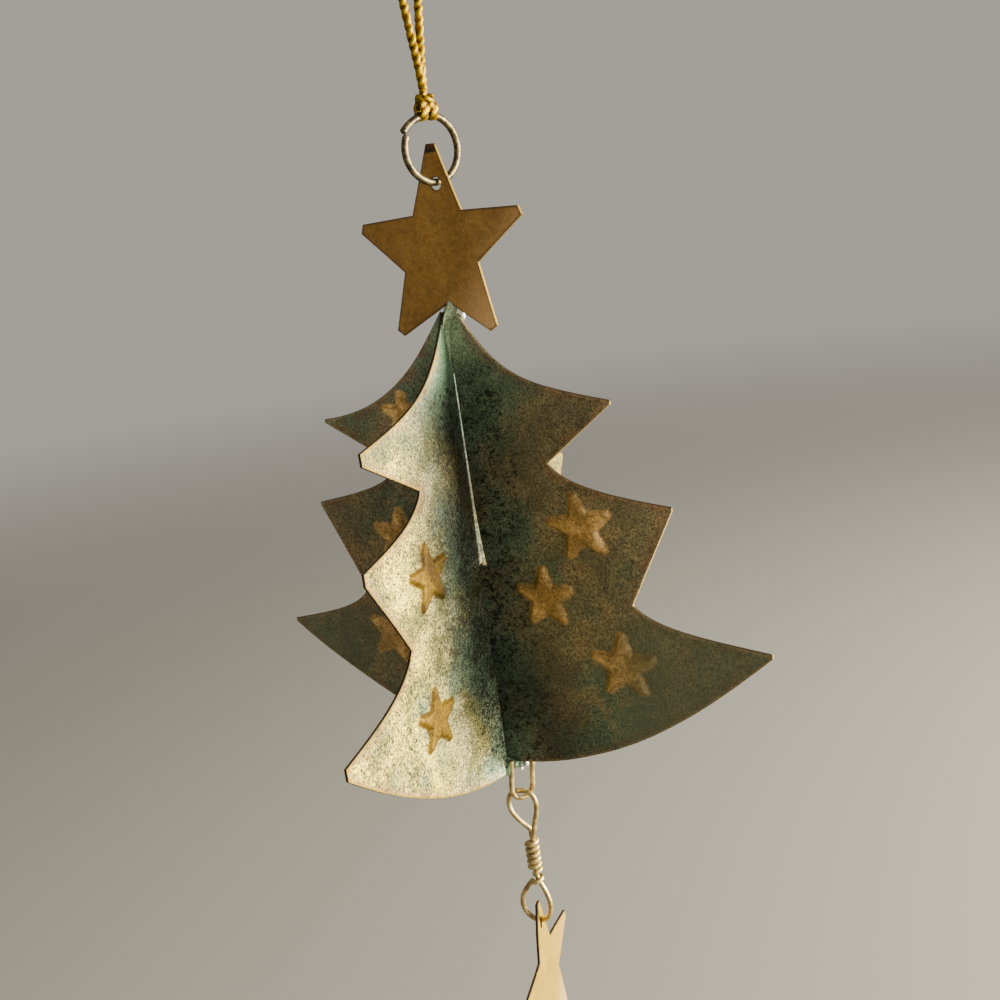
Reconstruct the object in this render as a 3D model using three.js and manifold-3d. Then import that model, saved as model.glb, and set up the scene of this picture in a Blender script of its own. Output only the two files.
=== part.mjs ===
// A hanging ornament: a small tree of two slotted sheet-metal plates, with a star on top and one below.
// Millimetres, +Z up. The origin is the point where the cord loop bears on whatever it hangs from.
// X runs along the plate with the right-hand vane, Y along the other plate, both through the tree's axis.

import * as THREE from 'three';
import * as BufferGeometryUtils from 'three/addons/utils/BufferGeometryUtils.js';
import Module from 'manifold-3d';

const wasm = await Module();
wasm.setup();

const { degToRad } = THREE.MathUtils;

// Clearances
const seatGap = 0.3; // between pieces that are soldered or slotted together
const wireGap = 0.25; // between a wire and the eye, hole or cord that hangs on it
const leastWireGap = 0.4; // between two turns of one wire
const cutPast = 2; // how far a cutter runs past the face or edge that it opens

// Hanging cord
const cordDiameter = 1.3;
const cordLoopHeight = 26.1; // from the bearing point down to the hitch
const cordBendRadius = 2.8;
// Route of one strand: height over the hitch, distance from the plumb line, degrees from X.
// The other strand is opposite. They leave the hitch one behind the other and open out as they rise.
const strandRoute = [
  [0, 0.86, 120],
  [3, 0.88, 108],
  [5, 0.9, 97],
  [8.3, 1.02, 77],
  [11.6, 1.24, 66],
  [14.9, 1.54, 60],
  [18.5, 1.98, 57],
  [21.6, 2.46, 56],
];
const cordBendTurn = 56; // degrees from X to the plane of the bend

// Cord hitch, a lark's head: two turns side by side and a bight across their front
const hitchCord = 1; // the braid is pulled flat here
const hitchGap = 0.2; // between the hitch and the ring's wire
const hitchTurns = 2;
const hitchTurnPitch = 1.4;
const hitchNeckHeight = 2.55; // from the middle of the turns' tops up to the throat
const hitchThroatRadius = 1.05;
const hitchShoulderRadius = 2.1;
// Profile of the neck: share of the shoulder's radius, share of the way up to the throat
const hitchNeckProfile = [[0.9, 0], [1, 0.35], [0.85, 0.65]];
const bightOverhang = 0.7; // how far the bight reaches past the middle of the outer turns
const bightRise = 0.35; // share of the wrap radius that the bight lies over the ring's wire

// Top ring, an open jump ring
const ringRadius = 5.55; // to the middle of the wire
const ringWire = 1.25;
const ringTurn = 68; // degrees from X to the ring's plane
const ringSplit = 62; // degrees from the top to the cut, on the left
const ringEndGap = 3.5; // degrees between the two ends
const ringEndSpread = 0.55; // how far the upper end stands out of the circle
const ringEndTuck = 0.15; // how far the lower end lies inside it
const ringSpreadSpan = 45; // degrees over which each end leaves the circle

// Sheet stars
const sheetThickness = 0.55;
const starReach = 17.3; // centre to a clipped tip
const starWaist = 8.1; // centre to an inner corner
const starTipWidth = 1.7;
const starHoleRadius = 1.1;
// The stars were snipped by hand: how far each arm is off its length, its angle and its inner corner.
const topStarTrims = [
  { reach: 1, lean: 2, waist: 0.3 },
  { reach: -0.3, lean: -1, waist: -0.9 },
  { reach: -1.3, lean: 5, waist: 0.6 },
  { reach: 0, lean: 3.5, waist: 0.6 },
  { reach: -0.3, lean: 1.5, waist: 0.4 },
];
const pendantTrims = [
  { reach: 0, lean: 0, waist: 0 },
  { reach: 0, lean: 6, waist: 0 },
  { reach: -0.3, lean: 1, waist: 0.2 },
  { reach: 0, lean: -1, waist: 0 },
  { reach: 0.2, lean: -2, waist: 0.2 },
];
const evenTrims = Array(5).fill({ reach: 0, lean: 0, waist: 0 });
const topHoleHeight = 11.65; // hole above the star's centre
const topHoleOffset = 0.7; // the hole was punched beside the tip's middle line
const pendantHoleHeight = 12.9;
const pendantTurn = 103; // degrees from X to the pendant star's plane
const starStandoff = 1.2; // from the tree's apex up to the star's lower notch

// Tree plates
const treeHeight = 88;
const frontFootDrop = 2.4; // how far the front plate's foot reaches below the side plate's, at the axis
const slotDepth = 48; // from the apex to where the two plates meet
const slotPlay = 1; // extra width at the foot of the upper slot, on the right
// Where the slot starts to widen, as shares of its depth and of the extra width
const slotFlare = [[0.92, 0.5], [0.82, 0.28], [0.32, 0.02]];
const crossingShift = -1.7; // the plates cross beside the side plate's apex
// The two points that the curve of a tier's upper edge is drawn to, as shares of its way out and down
const wideSweep = [[0.25, 0.73], [0.42, 0.81]];
const steepSweep = [[0.2, 0.4], [0.42, 0.93]];
const lowerTierSweep = [[0.13, 0.58], [0.6, 0.8]];
// Each vane was cut by hand. Points are how far out from the axis, in mm, and how far down from the apex,
// as a share of the tree's height, in tiers from the top.
const rightVane = {
  apex: [0.5, 0],
  topSweep: wideSweep,
  tips: [[28.4, 0.2034], [37.5, 0.4159], [52.8, 0.7068]],
  notches: [[15.2, 0.3261], [28.4, 0.6193]],
  tipWidth: 0.7,
  footSweep: [[39, 0.8477], [22, 0.9909]], // the two points that the curve of the foot is drawn to
};
const backLeftVane = {
  apex: [2.4, 0.0114],
  topSweep: steepSweep,
  tips: [[31.6, 0.2205], [36.2, 0.4091], [47.6, 0.6932]],
  notches: [[16.5, 0.325], [28.1, 0.6091]],
  tipWidth: 0.7,
  footSweep: [[35, 0.8227], [19, 0.9261]],
};
const frontLeftVane = {
  apex: [0.5, 0.0102],
  topSweep: wideSweep,
  tips: [[31.2, 0.2148], [35.6, 0.4273], [48.2, 0.7432]],
  notches: [[16.4, 0.3318], [25.9, 0.6216]],
  tipWidth: 2.2,
  footSweep: [[33, 0.9091], [17, 1.0091]],
};
const backRightVane = {
  apex: [0.5, 0.0102],
  topSweep: wideSweep,
  tips: [[31, 0.2114], [38.5, 0.4114], [50.6, 0.7114]],
  notches: [[16.9, 0.3284], [28.1, 0.617]],
  tipWidth: 1,
  footSweep: [[37, 0.8693], [20, 1.0091]],
};

// Stars pressed into the plates from behind
const reliefReach = 6.3;
const reliefWaist = 2.8;
const reliefTipWidth = 0.9;
const reliefHeight = 0.5;
const reliefWall = 0.4; // metal left between the raised face and the dent behind it
// Places are given as the vanes' points are. A minus sign is the other vane of the plate.
const sidePlateStars = [
  { out: 20.1, down: 0.4591, turn: -8, size: 1.02 },
  { out: 11.4, down: 0.6125, turn: 0, size: 0.95 },
  { out: 25.6, down: 0.7534, turn: 0, size: 1.03 },
  { out: -13.3, down: 0.2159, turn: 2, size: 0.7 },
  { out: -18.5, down: 0.4886, turn: 6, size: 0.96 },
  { out: -23.2, down: 0.7159, turn: 15, size: 0.96 },
];
const frontPlateStars = [
  { out: -17.7, down: 0.5034, turn: -2, size: 1 },
  { out: -21.8, down: 0.7875, turn: 5, size: 0.94 },
  { out: 19, down: 0.4773, turn: 5, size: 1 },
  { out: 22.5, down: 0.75, turn: -3, size: 0.97 },
];

// Foot loop, a narrow U of wire that was soldered on a little askew
const footWire = 1.15;
const footLoopWidth = 4.2; // between the middles of its legs
const footLoopDrop = 8; // below the plates, to the middle of the wire
const footLegRise = 2.6; // the longer leg's end over the plates' lowest point, up in a corner
const footLegGap = 0.4; // the shorter leg's end under the front plate
const footLegDrawIn = 1.5; // how far that leg's end is bent in towards the tree's axis
const footLoopTurn = 52; // degrees from X
const footLoopLean = 7; // degrees from upright
const footLoopX = -0.4; // where the bottom of the loop hangs

// Twisted link, one wire
const linkWire = 1;
const shankShift = 0.8; // the shank was bent off the line between the two eyes
const upperEyeWidth = 6.2;
const lowerEyeWidth = 6.5;
const eyeHeight = 8.9; // from the middle of an eye's end to where it closes on the shank
const shankLength = 10.9; // between the two eyes
const windRadius = 1.46;
const windPitch = 1.7;
const windDrop = 1.4; // from where the upper eye closes down to the winding
const upperTurns = 3;
const lowerTurns = 1;

// Solder
const starBlob = { across: 2.6, through: 1.8, up: 2.5, off: -0.8, drop: 0.8 };
const footBlob = { across: 2.9, through: 2.9, up: 2.6, off: -0.4, drop: 1 };

// Roundness of the faceted solids
const wireSides = 8;
const linkSides = 6;
const cordSides = 8;
const curvePoints = 10;
const windSteps = 12; // in one turn of a winding
const linkSteps = 150;
const cordSteps = 52;
const ringPoints = 48;
const ringSteps = 56;
const footLoopSteps = 36;
const blobSides = 16;
const blobRings = 10;
const hitchTurnSides = 16;
const hitchNeckSides = 16;
const passageSides = 12;
const passageSteps = 96;

// Where everything hangs
const throatZ = -cordLoopHeight;
const wrapRadius = ringWire / 2 + hitchGap + hitchCord / 2;
const ringTopZ = throatZ - hitchNeckHeight - wrapRadius;
const ringCentreZ = ringTopZ - ringRadius;
const ringBottomZ = ringCentreZ - ringRadius;
const topHoleZ = ringBottomZ - (starHoleRadius - ringWire / 2 - wireGap);
const topStarZ = topHoleZ - topHoleHeight;
const apexZ = topStarZ - starWaist - starStandoff;
const plateFootZ = apexZ - treeHeight;
const footLoopZ = plateFootZ - footLoopDrop;
const linkTopZ = footLoopZ + footWire / 2 + wireGap + linkWire / 2;
const linkBottomZ = linkTopZ - 2 * eyeHeight - shankLength;
const pendantHoleZ = linkBottomZ - (starHoleRadius - linkWire / 2 - wireGap);
const pendantStarZ = pendantHoleZ - pendantHoleHeight;
const treeX = -topHoleOffset;

const finishes = {
  goldCord: { color: 0xcab556, roughness: 0.5, metalness: 0.4 },
  tarnishedWire: { color: 0x8a8272, roughness: 0.4, metalness: 0.9 },
  lacqueredBrass: { color: 0x9a6d2a, roughness: 0.45, metalness: 0.85 },
  patina: { color: 0x6f7a58, roughness: 0.6, metalness: 0.5 },
  solder: { color: 0x8f8d84, roughness: 0.35, metalness: 0.9 },
  brassWire: { color: 0xb3935a, roughness: 0.4, metalness: 0.9 },
};

const ornament = new THREE.Group();

function addPiece(name, geometry, finish) {
  const piece = new THREE.Mesh(geometry, new THREE.MeshStandardMaterial(finishes[finish]));
  piece.name = name;
  ornament.add(piece);
  return piece;
}

// Solids for joining and cutting

function toSolid(geometry) {
  const plain = geometry.clone();
  plain.deleteAttribute('normal');
  plain.deleteAttribute('uv');
  const merged = BufferGeometryUtils.mergeVertices(plain, 1e-6);
  return new wasm.Manifold(
    new wasm.Mesh({
      numProp: 3,
      vertProperties: new Float32Array(merged.attributes.position.array),
      triVerts: new Uint32Array(merged.index.array),
    }),
  );
}

function toGeometry(solid) {
  const mesh = solid.getMesh();
  const geometry = new THREE.BufferGeometry();
  geometry.setAttribute('position', new THREE.BufferAttribute(mesh.vertProperties, 3));
  geometry.setIndex(new THREE.BufferAttribute(mesh.triVerts, 1));
  geometry.computeVertexNormals();
  return geometry;
}

// Wires and cords

function circleSection(radius, sides) {
  const section = new THREE.Shape();
  for (let i = 0; i < sides; i += 1) {
    const angle = (2 * Math.PI * (i + 0.5)) / sides;
    const point = [radius * Math.cos(angle), radius * Math.sin(angle)];
    if (i === 0) section.moveTo(...point);
    else section.lineTo(...point);
  }
  section.closePath();
  return section;
}

function tubeAlong(points, diameter, sides, steps) {
  const extrudePath = new THREE.CatmullRomCurve3(points, false, 'centripetal');
  return new THREE.ExtrudeGeometry(circleSection(diameter / 2, sides), {
    extrudePath,
    steps,
    curveSegments: 1,
  });
}

// The least distance between two stretches of one wire, from surface to surface.
function leastGapToItself(points, diameter, steps) {
  const curve = new THREE.CatmullRomCurve3(points, false, 'centripetal');
  const samples = curve.getSpacedPoints(steps);
  const spacing = curve.getLength() / steps;
  const apart = Math.ceil((3 * diameter) / spacing);
  let least = Infinity;
  for (let i = 0; i < samples.length; i += 1) {
    for (let j = i + apart; j < samples.length; j += 1) {
      least = Math.min(least, samples[i].distanceTo(samples[j]) - diameter);
    }
  }
  return least;
}

// A point in the upright plane that stands at an angle from X.
function inPlane(out, z, turn) {
  const angle = degToRad(turn);
  return new THREE.Vector3(out * Math.cos(angle), out * Math.sin(angle), z);
}

// Hanging cord: up one strand, over the bearing point and down the other
function cordGeometry() {
  const crown = cordDiameter / 2 - cordBendRadius;
  const half = strandRoute.map(([height, out, turn]) =>
    inPlane(out, throatZ + seatGap + height, turn),
  );
  for (const angle of [0, 30, 60, 90]) {
    const out = cordBendRadius * Math.cos(degToRad(angle));
    half.push(inPlane(out, crown + cordBendRadius * Math.sin(degToRad(angle)), cordBendTurn));
  }
  const other = half
    .slice(0, -1)
    .reverse()
    .map((point) => new THREE.Vector3(-point.x, -point.y, point.z));
  return tubeAlong([...half, ...other], cordDiameter, cordSides, cordSteps);
}

// Cord hitch: turns of the cord side by side on the ring, the bight across their front, and the neck
function hitchGeometry() {
  const turnAngle = hitchTurnPitch / ringRadius;
  const parts = [];
  for (let i = 0; i < hitchTurns; i += 1) {
    const turn = new THREE.TorusGeometry(wrapRadius, hitchCord / 2, cordSides, hitchTurnSides);
    turn.rotateY(Math.PI / 2);
    turn.translate(0, 0, ringRadius);
    turn.rotateY((i - (hitchTurns - 1) / 2) * turnAngle);
    parts.push(turn);
  }
  const span = (hitchTurns - 1) * hitchTurnPitch;
  const bight = new THREE.CapsuleGeometry(hitchCord / 2, span + 2 * bightOverhang, 4, cordSides);
  bight.rotateZ(Math.PI / 2);
  bight.translate(0, -wrapRadius, ringRadius + bightRise * wrapRadius);
  parts.push(bight);
  const foot = ringRadius + ringWire / 2 + hitchGap;
  const top = ringRadius + wrapRadius + hitchNeckHeight;
  const neck = new THREE.LatheGeometry(
    [
      new THREE.Vector2(0, foot),
      ...hitchNeckProfile.map(
        ([wide, up]) => new THREE.Vector2(hitchShoulderRadius * wide, foot + (top - foot) * up),
      ),
      new THREE.Vector2(hitchThroatRadius, top),
      new THREE.Vector2(0, top),
    ],
    hitchNeckSides,
  );
  neck.rotateX(Math.PI / 2);
  parts.push(neck);
  const passage = new THREE.TorusGeometry(ringRadius, ringWire / 2 + hitchGap, passageSides, passageSteps);
  passage.rotateX(Math.PI / 2);
  const lump = parts.map(toSolid).reduce((sum, part) => sum.add(part));
  return toGeometry(lump.subtract(toSolid(passage)));
}

// Top ring: one nearly whole turn, whose upper end was left sprung out past the lower one
function ringGeometry() {
  const first = -ringSplit + ringEndGap / 2;
  const last = 360 - ringSplit - ringEndGap / 2;
  const points = [];
  for (let i = 0; i <= ringPoints; i += 1) {
    const angle = first + ((last - first) * i) / ringPoints;
    const spread = Math.max(0, 1 - (angle - first) / ringSpreadSpan) ** 2;
    const tuck = Math.max(0, 1 - (last - angle) / ringSpreadSpan) ** 2;
    const radius = ringRadius + ringEndSpread * spread - ringEndTuck * tuck;
    const turned = degToRad(angle);
    points.push(new THREE.Vector3(radius * Math.sin(turned), 0, radius * Math.cos(turned)));
  }
  return tubeAlong(points, ringWire, wireSides, ringSteps);
}

// Star blank with clipped tips and, where it has one, a punched hole
function starShape(reach, waist, tipWidth, trims = evenTrims, hole = null) {
  const outline = new THREE.Shape();
  trims.forEach((trim, i) => {
    const arm = (2 * Math.PI * i) / trims.length + degToRad(trim.lean);
    const corner = (2 * Math.PI * (i + 0.5)) / trims.length;
    const tip = reach + trim.reach;
    const inner = waist + trim.waist;
    for (const across of [-tipWidth / 2, tipWidth / 2]) {
      const x = tip * Math.sin(arm) + across * Math.cos(arm);
      const y = tip * Math.cos(arm) - across * Math.sin(arm);
      if (outline.curves.length === 0 && across < 0) outline.moveTo(x, y);
      else outline.lineTo(x, y);
    }
    outline.lineTo(inner * Math.sin(corner), inner * Math.cos(corner));
  });
  outline.closePath();
  if (hole) {
    const rim = new THREE.Path();
    rim.absarc(hole.across, hole.up, hole.radius, 0, 2 * Math.PI);
    outline.holes.push(rim);
  }
  return outline;
}

// A flat sheet standing upright in the plane of X and Z, its middle on Y = 0
function uprightSheet(shape, thickness) {
  const sheet = new THREE.ExtrudeGeometry(shape, {
    depth: thickness,
    bevelEnabled: false,
    curveSegments: curvePoints,
  });
  sheet.translate(0, 0, -thickness / 2);
  sheet.rotateX(Math.PI / 2);
  return sheet;
}

function starGeometry(trims, holeHeight, holeOffset) {
  const hole = { across: holeOffset, up: holeHeight, radius: starHoleRadius };
  return uprightSheet(starShape(starReach, starWaist, starTipWidth, trims, hole), sheetThickness);
}

// One side of a tree plate, from the apex out over three tiers and back along the foot to the axis
function vaneShape(vane, side, foot) {
  const place = ([out, down]) => [side * out, -down * treeHeight];
  const outline = new THREE.Shape();
  let from = vane.apex;
  outline.moveTo(...place(from));
  vane.tips.forEach(([out, down], i) => {
    const sweep = (i === 0 ? vane.topSweep : lowerTierSweep).flatMap(([shareOut, shareDown]) =>
      place([from[0] + shareOut * (out - from[0]), from[1] + shareDown * (down - from[1])]),
    );
    outline.bezierCurveTo(...sweep, ...place([out, down]));
    outline.lineTo(side * out, -down * treeHeight - vane.tipWidth);
    if (i < vane.notches.length) {
      from = vane.notches[i];
      outline.lineTo(...place(from));
    }
  });
  outline.bezierCurveTo(...vane.footSweep.flatMap(place), 0, -foot);
  return outline;
}

function plateShape(positiveVane, negativeVane, foot) {
  const negativeSide = vaneShape(negativeVane, -1, foot).getPoints(curvePoints).reverse();
  return new THREE.Shape([
    ...vaneShape(positiveVane, 1, foot).getPoints(curvePoints),
    ...negativeSide.slice(1),
  ]);
}

// Raised stars, pressed from behind so that each leaves a dent on the other face
function pressStars(plate, stars, raisedSide) {
  const face = sheetThickness / 2;
  const dentFloor = face + reliefHeight - reliefWall;
  const dentMouth = -face - cutPast;
  return stars.reduce((pressed, star) => {
    const place = (geometry, y) =>
      toSolid(
        geometry
          .rotateY(degToRad(star.turn))
          .translate(star.out, y, -star.down * treeHeight),
      );
    const reach = reliefReach * star.size;
    const waist = reliefWaist * star.size;
    const raised = starShape(reach, waist, reliefTipWidth);
    const dent = starShape(reach - reliefWall, waist - reliefWall, reliefTipWidth - reliefWall);
    const pad = place(
      uprightSheet(raised, reliefHeight + face),
      (raisedSide * (reliefHeight + face)) / 2,
    );
    const hollow = place(
      uprightSheet(dent, dentFloor - dentMouth),
      (raisedSide * (dentFloor + dentMouth)) / 2,
    );
    return pressed.add(pad).subtract(hollow);
  }, plate);
}

// The slot of a plate, a little wider at the foot on one side where it was cut with play
function slotSolid(middle, top, bottom, play) {
  const half = sheetThickness / 2 + seatGap;
  const flare = slotFlare.map(
    ([down, wide]) => new THREE.Vector2(middle + half + play * wide, bottom * down),
  );
  const outline = new THREE.Shape([
    new THREE.Vector2(middle - half, bottom),
    new THREE.Vector2(middle + half + play, bottom),
    ...(play > 0 ? flare : []),
    new THREE.Vector2(middle + half, top),
    new THREE.Vector2(middle - half, top),
  ]);
  return toSolid(uprightSheet(outline, sheetThickness * 3));
}

function plateGeometry(shape, stars, raisedSide, slot) {
  const plain = toSolid(uprightSheet(shape, sheetThickness));
  return toGeometry(pressStars(plain, stars, raisedSide).subtract(slot));
}

// The room that a sheet takes with a gap all round it, for cutting what is soldered to it
function sheetRoom(shape, place) {
  const shifts = [
    [seatGap, 0],
    [-seatGap, 0],
    [0, seatGap],
    [0, -seatGap],
  ];
  return shifts
    .map(([across, up]) => {
      const sheet = uprightSheet(shape, sheetThickness + 2 * seatGap);
      return toSolid(place(sheet.translate(across, 0, up)));
    })
    .reduce((room, part) => room.add(part));
}

// Foot loop, or with more diameter the room that it takes
function footLoopGeometry(diameter) {
  const half = footLoopWidth / 2;
  const past = (diameter - footWire) / 2;
  const shortEnd = footLoopDrop - frontFootDrop - footLegGap + past;
  const longEnd = footLoopDrop + footLegRise + past;
  const bend = [180, 210, 240, 270, 300, 330, 360].map((angle) => [
    half * Math.cos(degToRad(angle)),
    half + half * Math.sin(degToRad(angle)),
  ]);
  const route = [
    [-half, shortEnd],
    [-half, (shortEnd + half) / 2],
    ...bend,
    [half, (footLoopDrop + half) / 2],
    [half, footLoopDrop - 0.6],
    [half - footLegDrawIn * 0.5, (footLoopDrop + longEnd) / 2],
    [half - footLegDrawIn, longEnd],
  ];
  const lean = degToRad(footLoopLean);
  const points = route.map(([out, up]) => {
    const leaned = out * Math.cos(lean) + up * Math.sin(lean);
    return inPlane(leaned, footLoopZ + up * Math.cos(lean) - out * Math.sin(lean), footLoopTurn);
  });
  return tubeAlong(points, diameter, wireSides, footLoopSteps).translate(footLoopX, 0, 0);
}

// A blob of solder, cut clear of what it joins
function solderGeometry(size, jointZ, rooms) {
  const blob = new THREE.SphereGeometry(1, blobSides, blobRings);
  blob.scale(size.across, size.through, size.up);
  blob.translate(treeX + size.off, 0, jointZ - size.drop);
  return toGeometry(rooms.reduce((rest, room) => rest.subtract(room), toSolid(blob)));
}

// Cord and ring
addPiece('hanging_cord', cordGeometry(), 'goldCord');

const hitch = addPiece('cord_hitch', hitchGeometry(), 'goldCord');
hitch.position.set(0, 0, ringCentreZ);
hitch.rotation.z = degToRad(ringTurn);

const ring = addPiece('top_ring', ringGeometry(), 'tarnishedWire');
ring.position.set(0, 0, ringCentreZ);
ring.rotation.z = degToRad(ringTurn);

// Top star
const placeTopStar = (geometry) => geometry.translate(treeX, 0, topStarZ);
addPiece('top_star', placeTopStar(starGeometry(topStarTrims, topHoleHeight, topHoleOffset)), 'lacqueredBrass');

// Tree plates, slotted into each other
const sideShape = plateShape(rightVane, backLeftVane, treeHeight);
const frontShape = plateShape(backRightVane, frontLeftVane, treeHeight + frontFootDrop);
const sideSlot = slotSolid(crossingShift, cutPast, -slotDepth - seatGap / 2, slotPlay);
const frontSlot = slotSolid(0, -slotDepth + seatGap / 2, -treeHeight - frontFootDrop - cutPast, 0);
const placeSide = (geometry) => geometry.translate(treeX, 0, apexZ);
const placeFront = (geometry) => geometry.rotateZ(Math.PI / 2).translate(treeX + crossingShift, 0, apexZ);
addPiece('side_plate', placeSide(plateGeometry(sideShape, sidePlateStars, -1, sideSlot)), 'patina');
addPiece('front_plate', placeFront(plateGeometry(frontShape, frontPlateStars, -1, frontSlot)), 'patina');

// Solder and the loop under the foot
addPiece('foot_loop', footLoopGeometry(footWire), 'brassWire');
const plateRooms = [sheetRoom(sideShape, placeSide), sheetRoom(frontShape, placeFront)];
const topStarRoom = sheetRoom(starShape(starReach, starWaist, starTipWidth, topStarTrims), placeTopStar);
const footLoopRoom = toSolid(footLoopGeometry(footWire + 2 * seatGap));
addPiece(
  'star_solder',
  solderGeometry(starBlob, apexZ, [topStarRoom, ...plateRooms]),
  'solder',
);
addPiece('foot_solder', solderGeometry(footBlob, plateFootZ, [footLoopRoom, ...plateRooms]), 'solder');

// Twisted link: up the winding, round the upper eye, down the shank, round the lower eye and a last turn

// One side of an eye, from where it closes on the shank to its end, on the side given as 1 or -1
function eyeSide(side, width, endZ, closeZ) {
  const profile = [
    [0.62, 0.66],
    [0.9, 0.42],
    [1, 0.24],
    [0.8, 0.07],
    [0.42, 0.01],
  ];
  return profile.map(
    ([out, along]) => new THREE.Vector3((side * out * width) / 2, 0, endZ + along * (closeZ - endZ)),
  );
}

// Turns of a winding round the shank, upwards from a height, starting and ending on its left
function windingPoints(startZ, turns) {
  const points = [];
  for (let i = 0; i <= turns * windSteps; i += 1) {
    const turned = i / windSteps;
    const angle = Math.PI * (1 + 2 * turned);
    points.push(
      new THREE.Vector3(
        shankShift + windRadius * Math.cos(angle),
        windRadius * Math.sin(angle),
        startZ + windPitch * turned,
      ),
    );
  }
  return points;
}

function linkPoints() {
  const upperClose = linkTopZ - eyeHeight;
  const lowerClose = linkBottomZ + eyeHeight;
  const shankTop = upperClose + 0.6;
  const shankFoot = lowerClose - 0.6;
  const shank = [0, 0.06, 0.5, 0.94, 1].map(
    (share) => new THREE.Vector3(shankShift, 0, shankTop + share * (shankFoot - shankTop)),
  );
  const windTop = upperClose - windDrop;
  return [
    ...windingPoints(windTop - upperTurns * windPitch, upperTurns),
    ...eyeSide(-1, upperEyeWidth, linkTopZ, upperClose),
    new THREE.Vector3(0, 0, linkTopZ),
    ...eyeSide(1, upperEyeWidth, linkTopZ, upperClose).reverse(),
    ...shank,
    ...eyeSide(1, lowerEyeWidth, linkBottomZ, lowerClose),
    new THREE.Vector3(0, 0, linkBottomZ),
    ...eyeSide(-1, lowerEyeWidth, linkBottomZ, lowerClose).reverse(),
    ...windingPoints(lowerClose + 0.5, lowerTurns),
  ];
}

const linkRoute = linkPoints();
const linkGap = leastGapToItself(linkRoute, linkWire, 3 * linkSteps);
console.log(`twisted_link: least gap to itself ${linkGap.toFixed(2)} mm, wanted over ${leastWireGap} mm`);
const linkGeometry = tubeAlong(linkRoute, linkWire, linkSides, linkSteps);
linkGeometry.translate(footLoopX, 0, 0);
addPiece('twisted_link', linkGeometry, 'brassWire');

// Pendant star
const pendantGeometry = starGeometry(pendantTrims, pendantHoleHeight, 0);
pendantGeometry.rotateZ(degToRad(pendantTurn));
pendantGeometry.translate(footLoopX, 0, pendantStarZ);
addPiece('pendant_star', pendantGeometry, 'lacqueredBrass');

export default ornament;
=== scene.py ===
"""A hanging tree ornament of two slotted sheet-metal plates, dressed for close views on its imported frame.

Sizes in the classes are millimetres in the frame's own axes. They become metres when a mesh is made.
"""

import logging
import math
from collections.abc import Callable, Sequence
from dataclasses import dataclass
from enum import Enum

import bmesh
import bpy
import numpy as np
from mathutils import Matrix, Vector
from mathutils.geometry import delaunay_2d_cdt


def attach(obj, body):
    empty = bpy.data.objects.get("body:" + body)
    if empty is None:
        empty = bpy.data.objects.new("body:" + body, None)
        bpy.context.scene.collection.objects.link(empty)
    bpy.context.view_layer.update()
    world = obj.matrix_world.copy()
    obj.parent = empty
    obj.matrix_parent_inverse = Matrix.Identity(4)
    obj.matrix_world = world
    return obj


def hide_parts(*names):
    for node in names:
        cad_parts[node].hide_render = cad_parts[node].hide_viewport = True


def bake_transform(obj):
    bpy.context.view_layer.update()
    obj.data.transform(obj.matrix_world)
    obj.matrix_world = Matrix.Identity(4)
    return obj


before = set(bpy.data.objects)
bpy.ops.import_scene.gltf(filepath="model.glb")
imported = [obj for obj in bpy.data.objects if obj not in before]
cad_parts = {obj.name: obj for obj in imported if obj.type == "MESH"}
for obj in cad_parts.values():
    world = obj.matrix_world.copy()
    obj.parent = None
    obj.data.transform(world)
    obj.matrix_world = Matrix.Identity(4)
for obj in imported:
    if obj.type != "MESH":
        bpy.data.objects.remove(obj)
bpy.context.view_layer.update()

log = logging.getLogger("ornament")

METRE = 0.001  # one millimetre, in metres
Colour = tuple[float, float, float]
Point = tuple[float, float, float]
Pair = tuple[float, float]
# Three numbers that are neither a colour nor a point, and four
Triple = tuple[float, float, float]
Quad = tuple[float, float, float, float]

# Places that several classes share, in millimetres, and the ring's turn in degrees
THROAT_Z = -26.1
RING_CENTRE_Z = -35.525
APEX_Z = -62.25
FOOT_LOOP_Z = -158.25
LINK_TOP_Z = -156.825
TREE_X = -0.7
CROSSING_SHIFT = -1.7
CROSSING_X = TREE_X + CROSSING_SHIFT
LOOP_X = -0.4
RING_TURN = 68

FAR = 1e9  # further than any distance that is measured
ROW_STEP = 0.866  # height of a triangle whose sides are 1
WAVES_PEAK = 1.9  # about the most that the three waves of a ripple add up to
UPWARD_LOSS = 0.8  # how much an edge's facing up takes from its facing right
END_LOSS = 0.45  # share of its radius that a wire loses at its very end
PLAIT_PITCH = 1.35  # of the braid's crossing strands, in millimetres
LAY_PITCH = 1.6  # of the braid's main strands, in millimetres


def srgb(red: int, green: int, blue: int) -> Colour:
    """Returns a linear colour from one read as 0 to 255."""
    values = [channel / 255 for channel in (red, green, blue)]
    return tuple(v / 12.92 if v <= 0.04045 else ((v + 0.055) / 1.055) ** 2.4 for v in values)


def smoothstep(low: float, high: float, values: np.ndarray) -> np.ndarray:
    """Returns values eased from 0 at low to 1 at high."""
    share = np.clip((values - low) / (high - low), 0, 1)
    return share * share * (3 - 2 * share)


def ripple(points: np.ndarray, seed: int, wavelength: float) -> np.ndarray:
    """Makes a slow, smooth and repeatable unevenness.

    Args:
        points: rows of coordinates, in millimetres.
        seed: picks one pattern.
        wavelength: the longest wave, in millimetres.

    Returns:
        One value from about -1 to 1 for each row.
    """
    generator = np.random.default_rng(seed)
    total = np.zeros(len(points))
    for octave in (1.0, 1.7, 2.9):
        direction = generator.normal(size=points.shape[1])
        direction /= np.linalg.norm(direction)
        phase = generator.uniform(0, 2 * math.pi)
        total += np.sin(points @ direction * 2 * math.pi * octave / wavelength + phase) / octave
    return total / WAVES_PEAK


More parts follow.
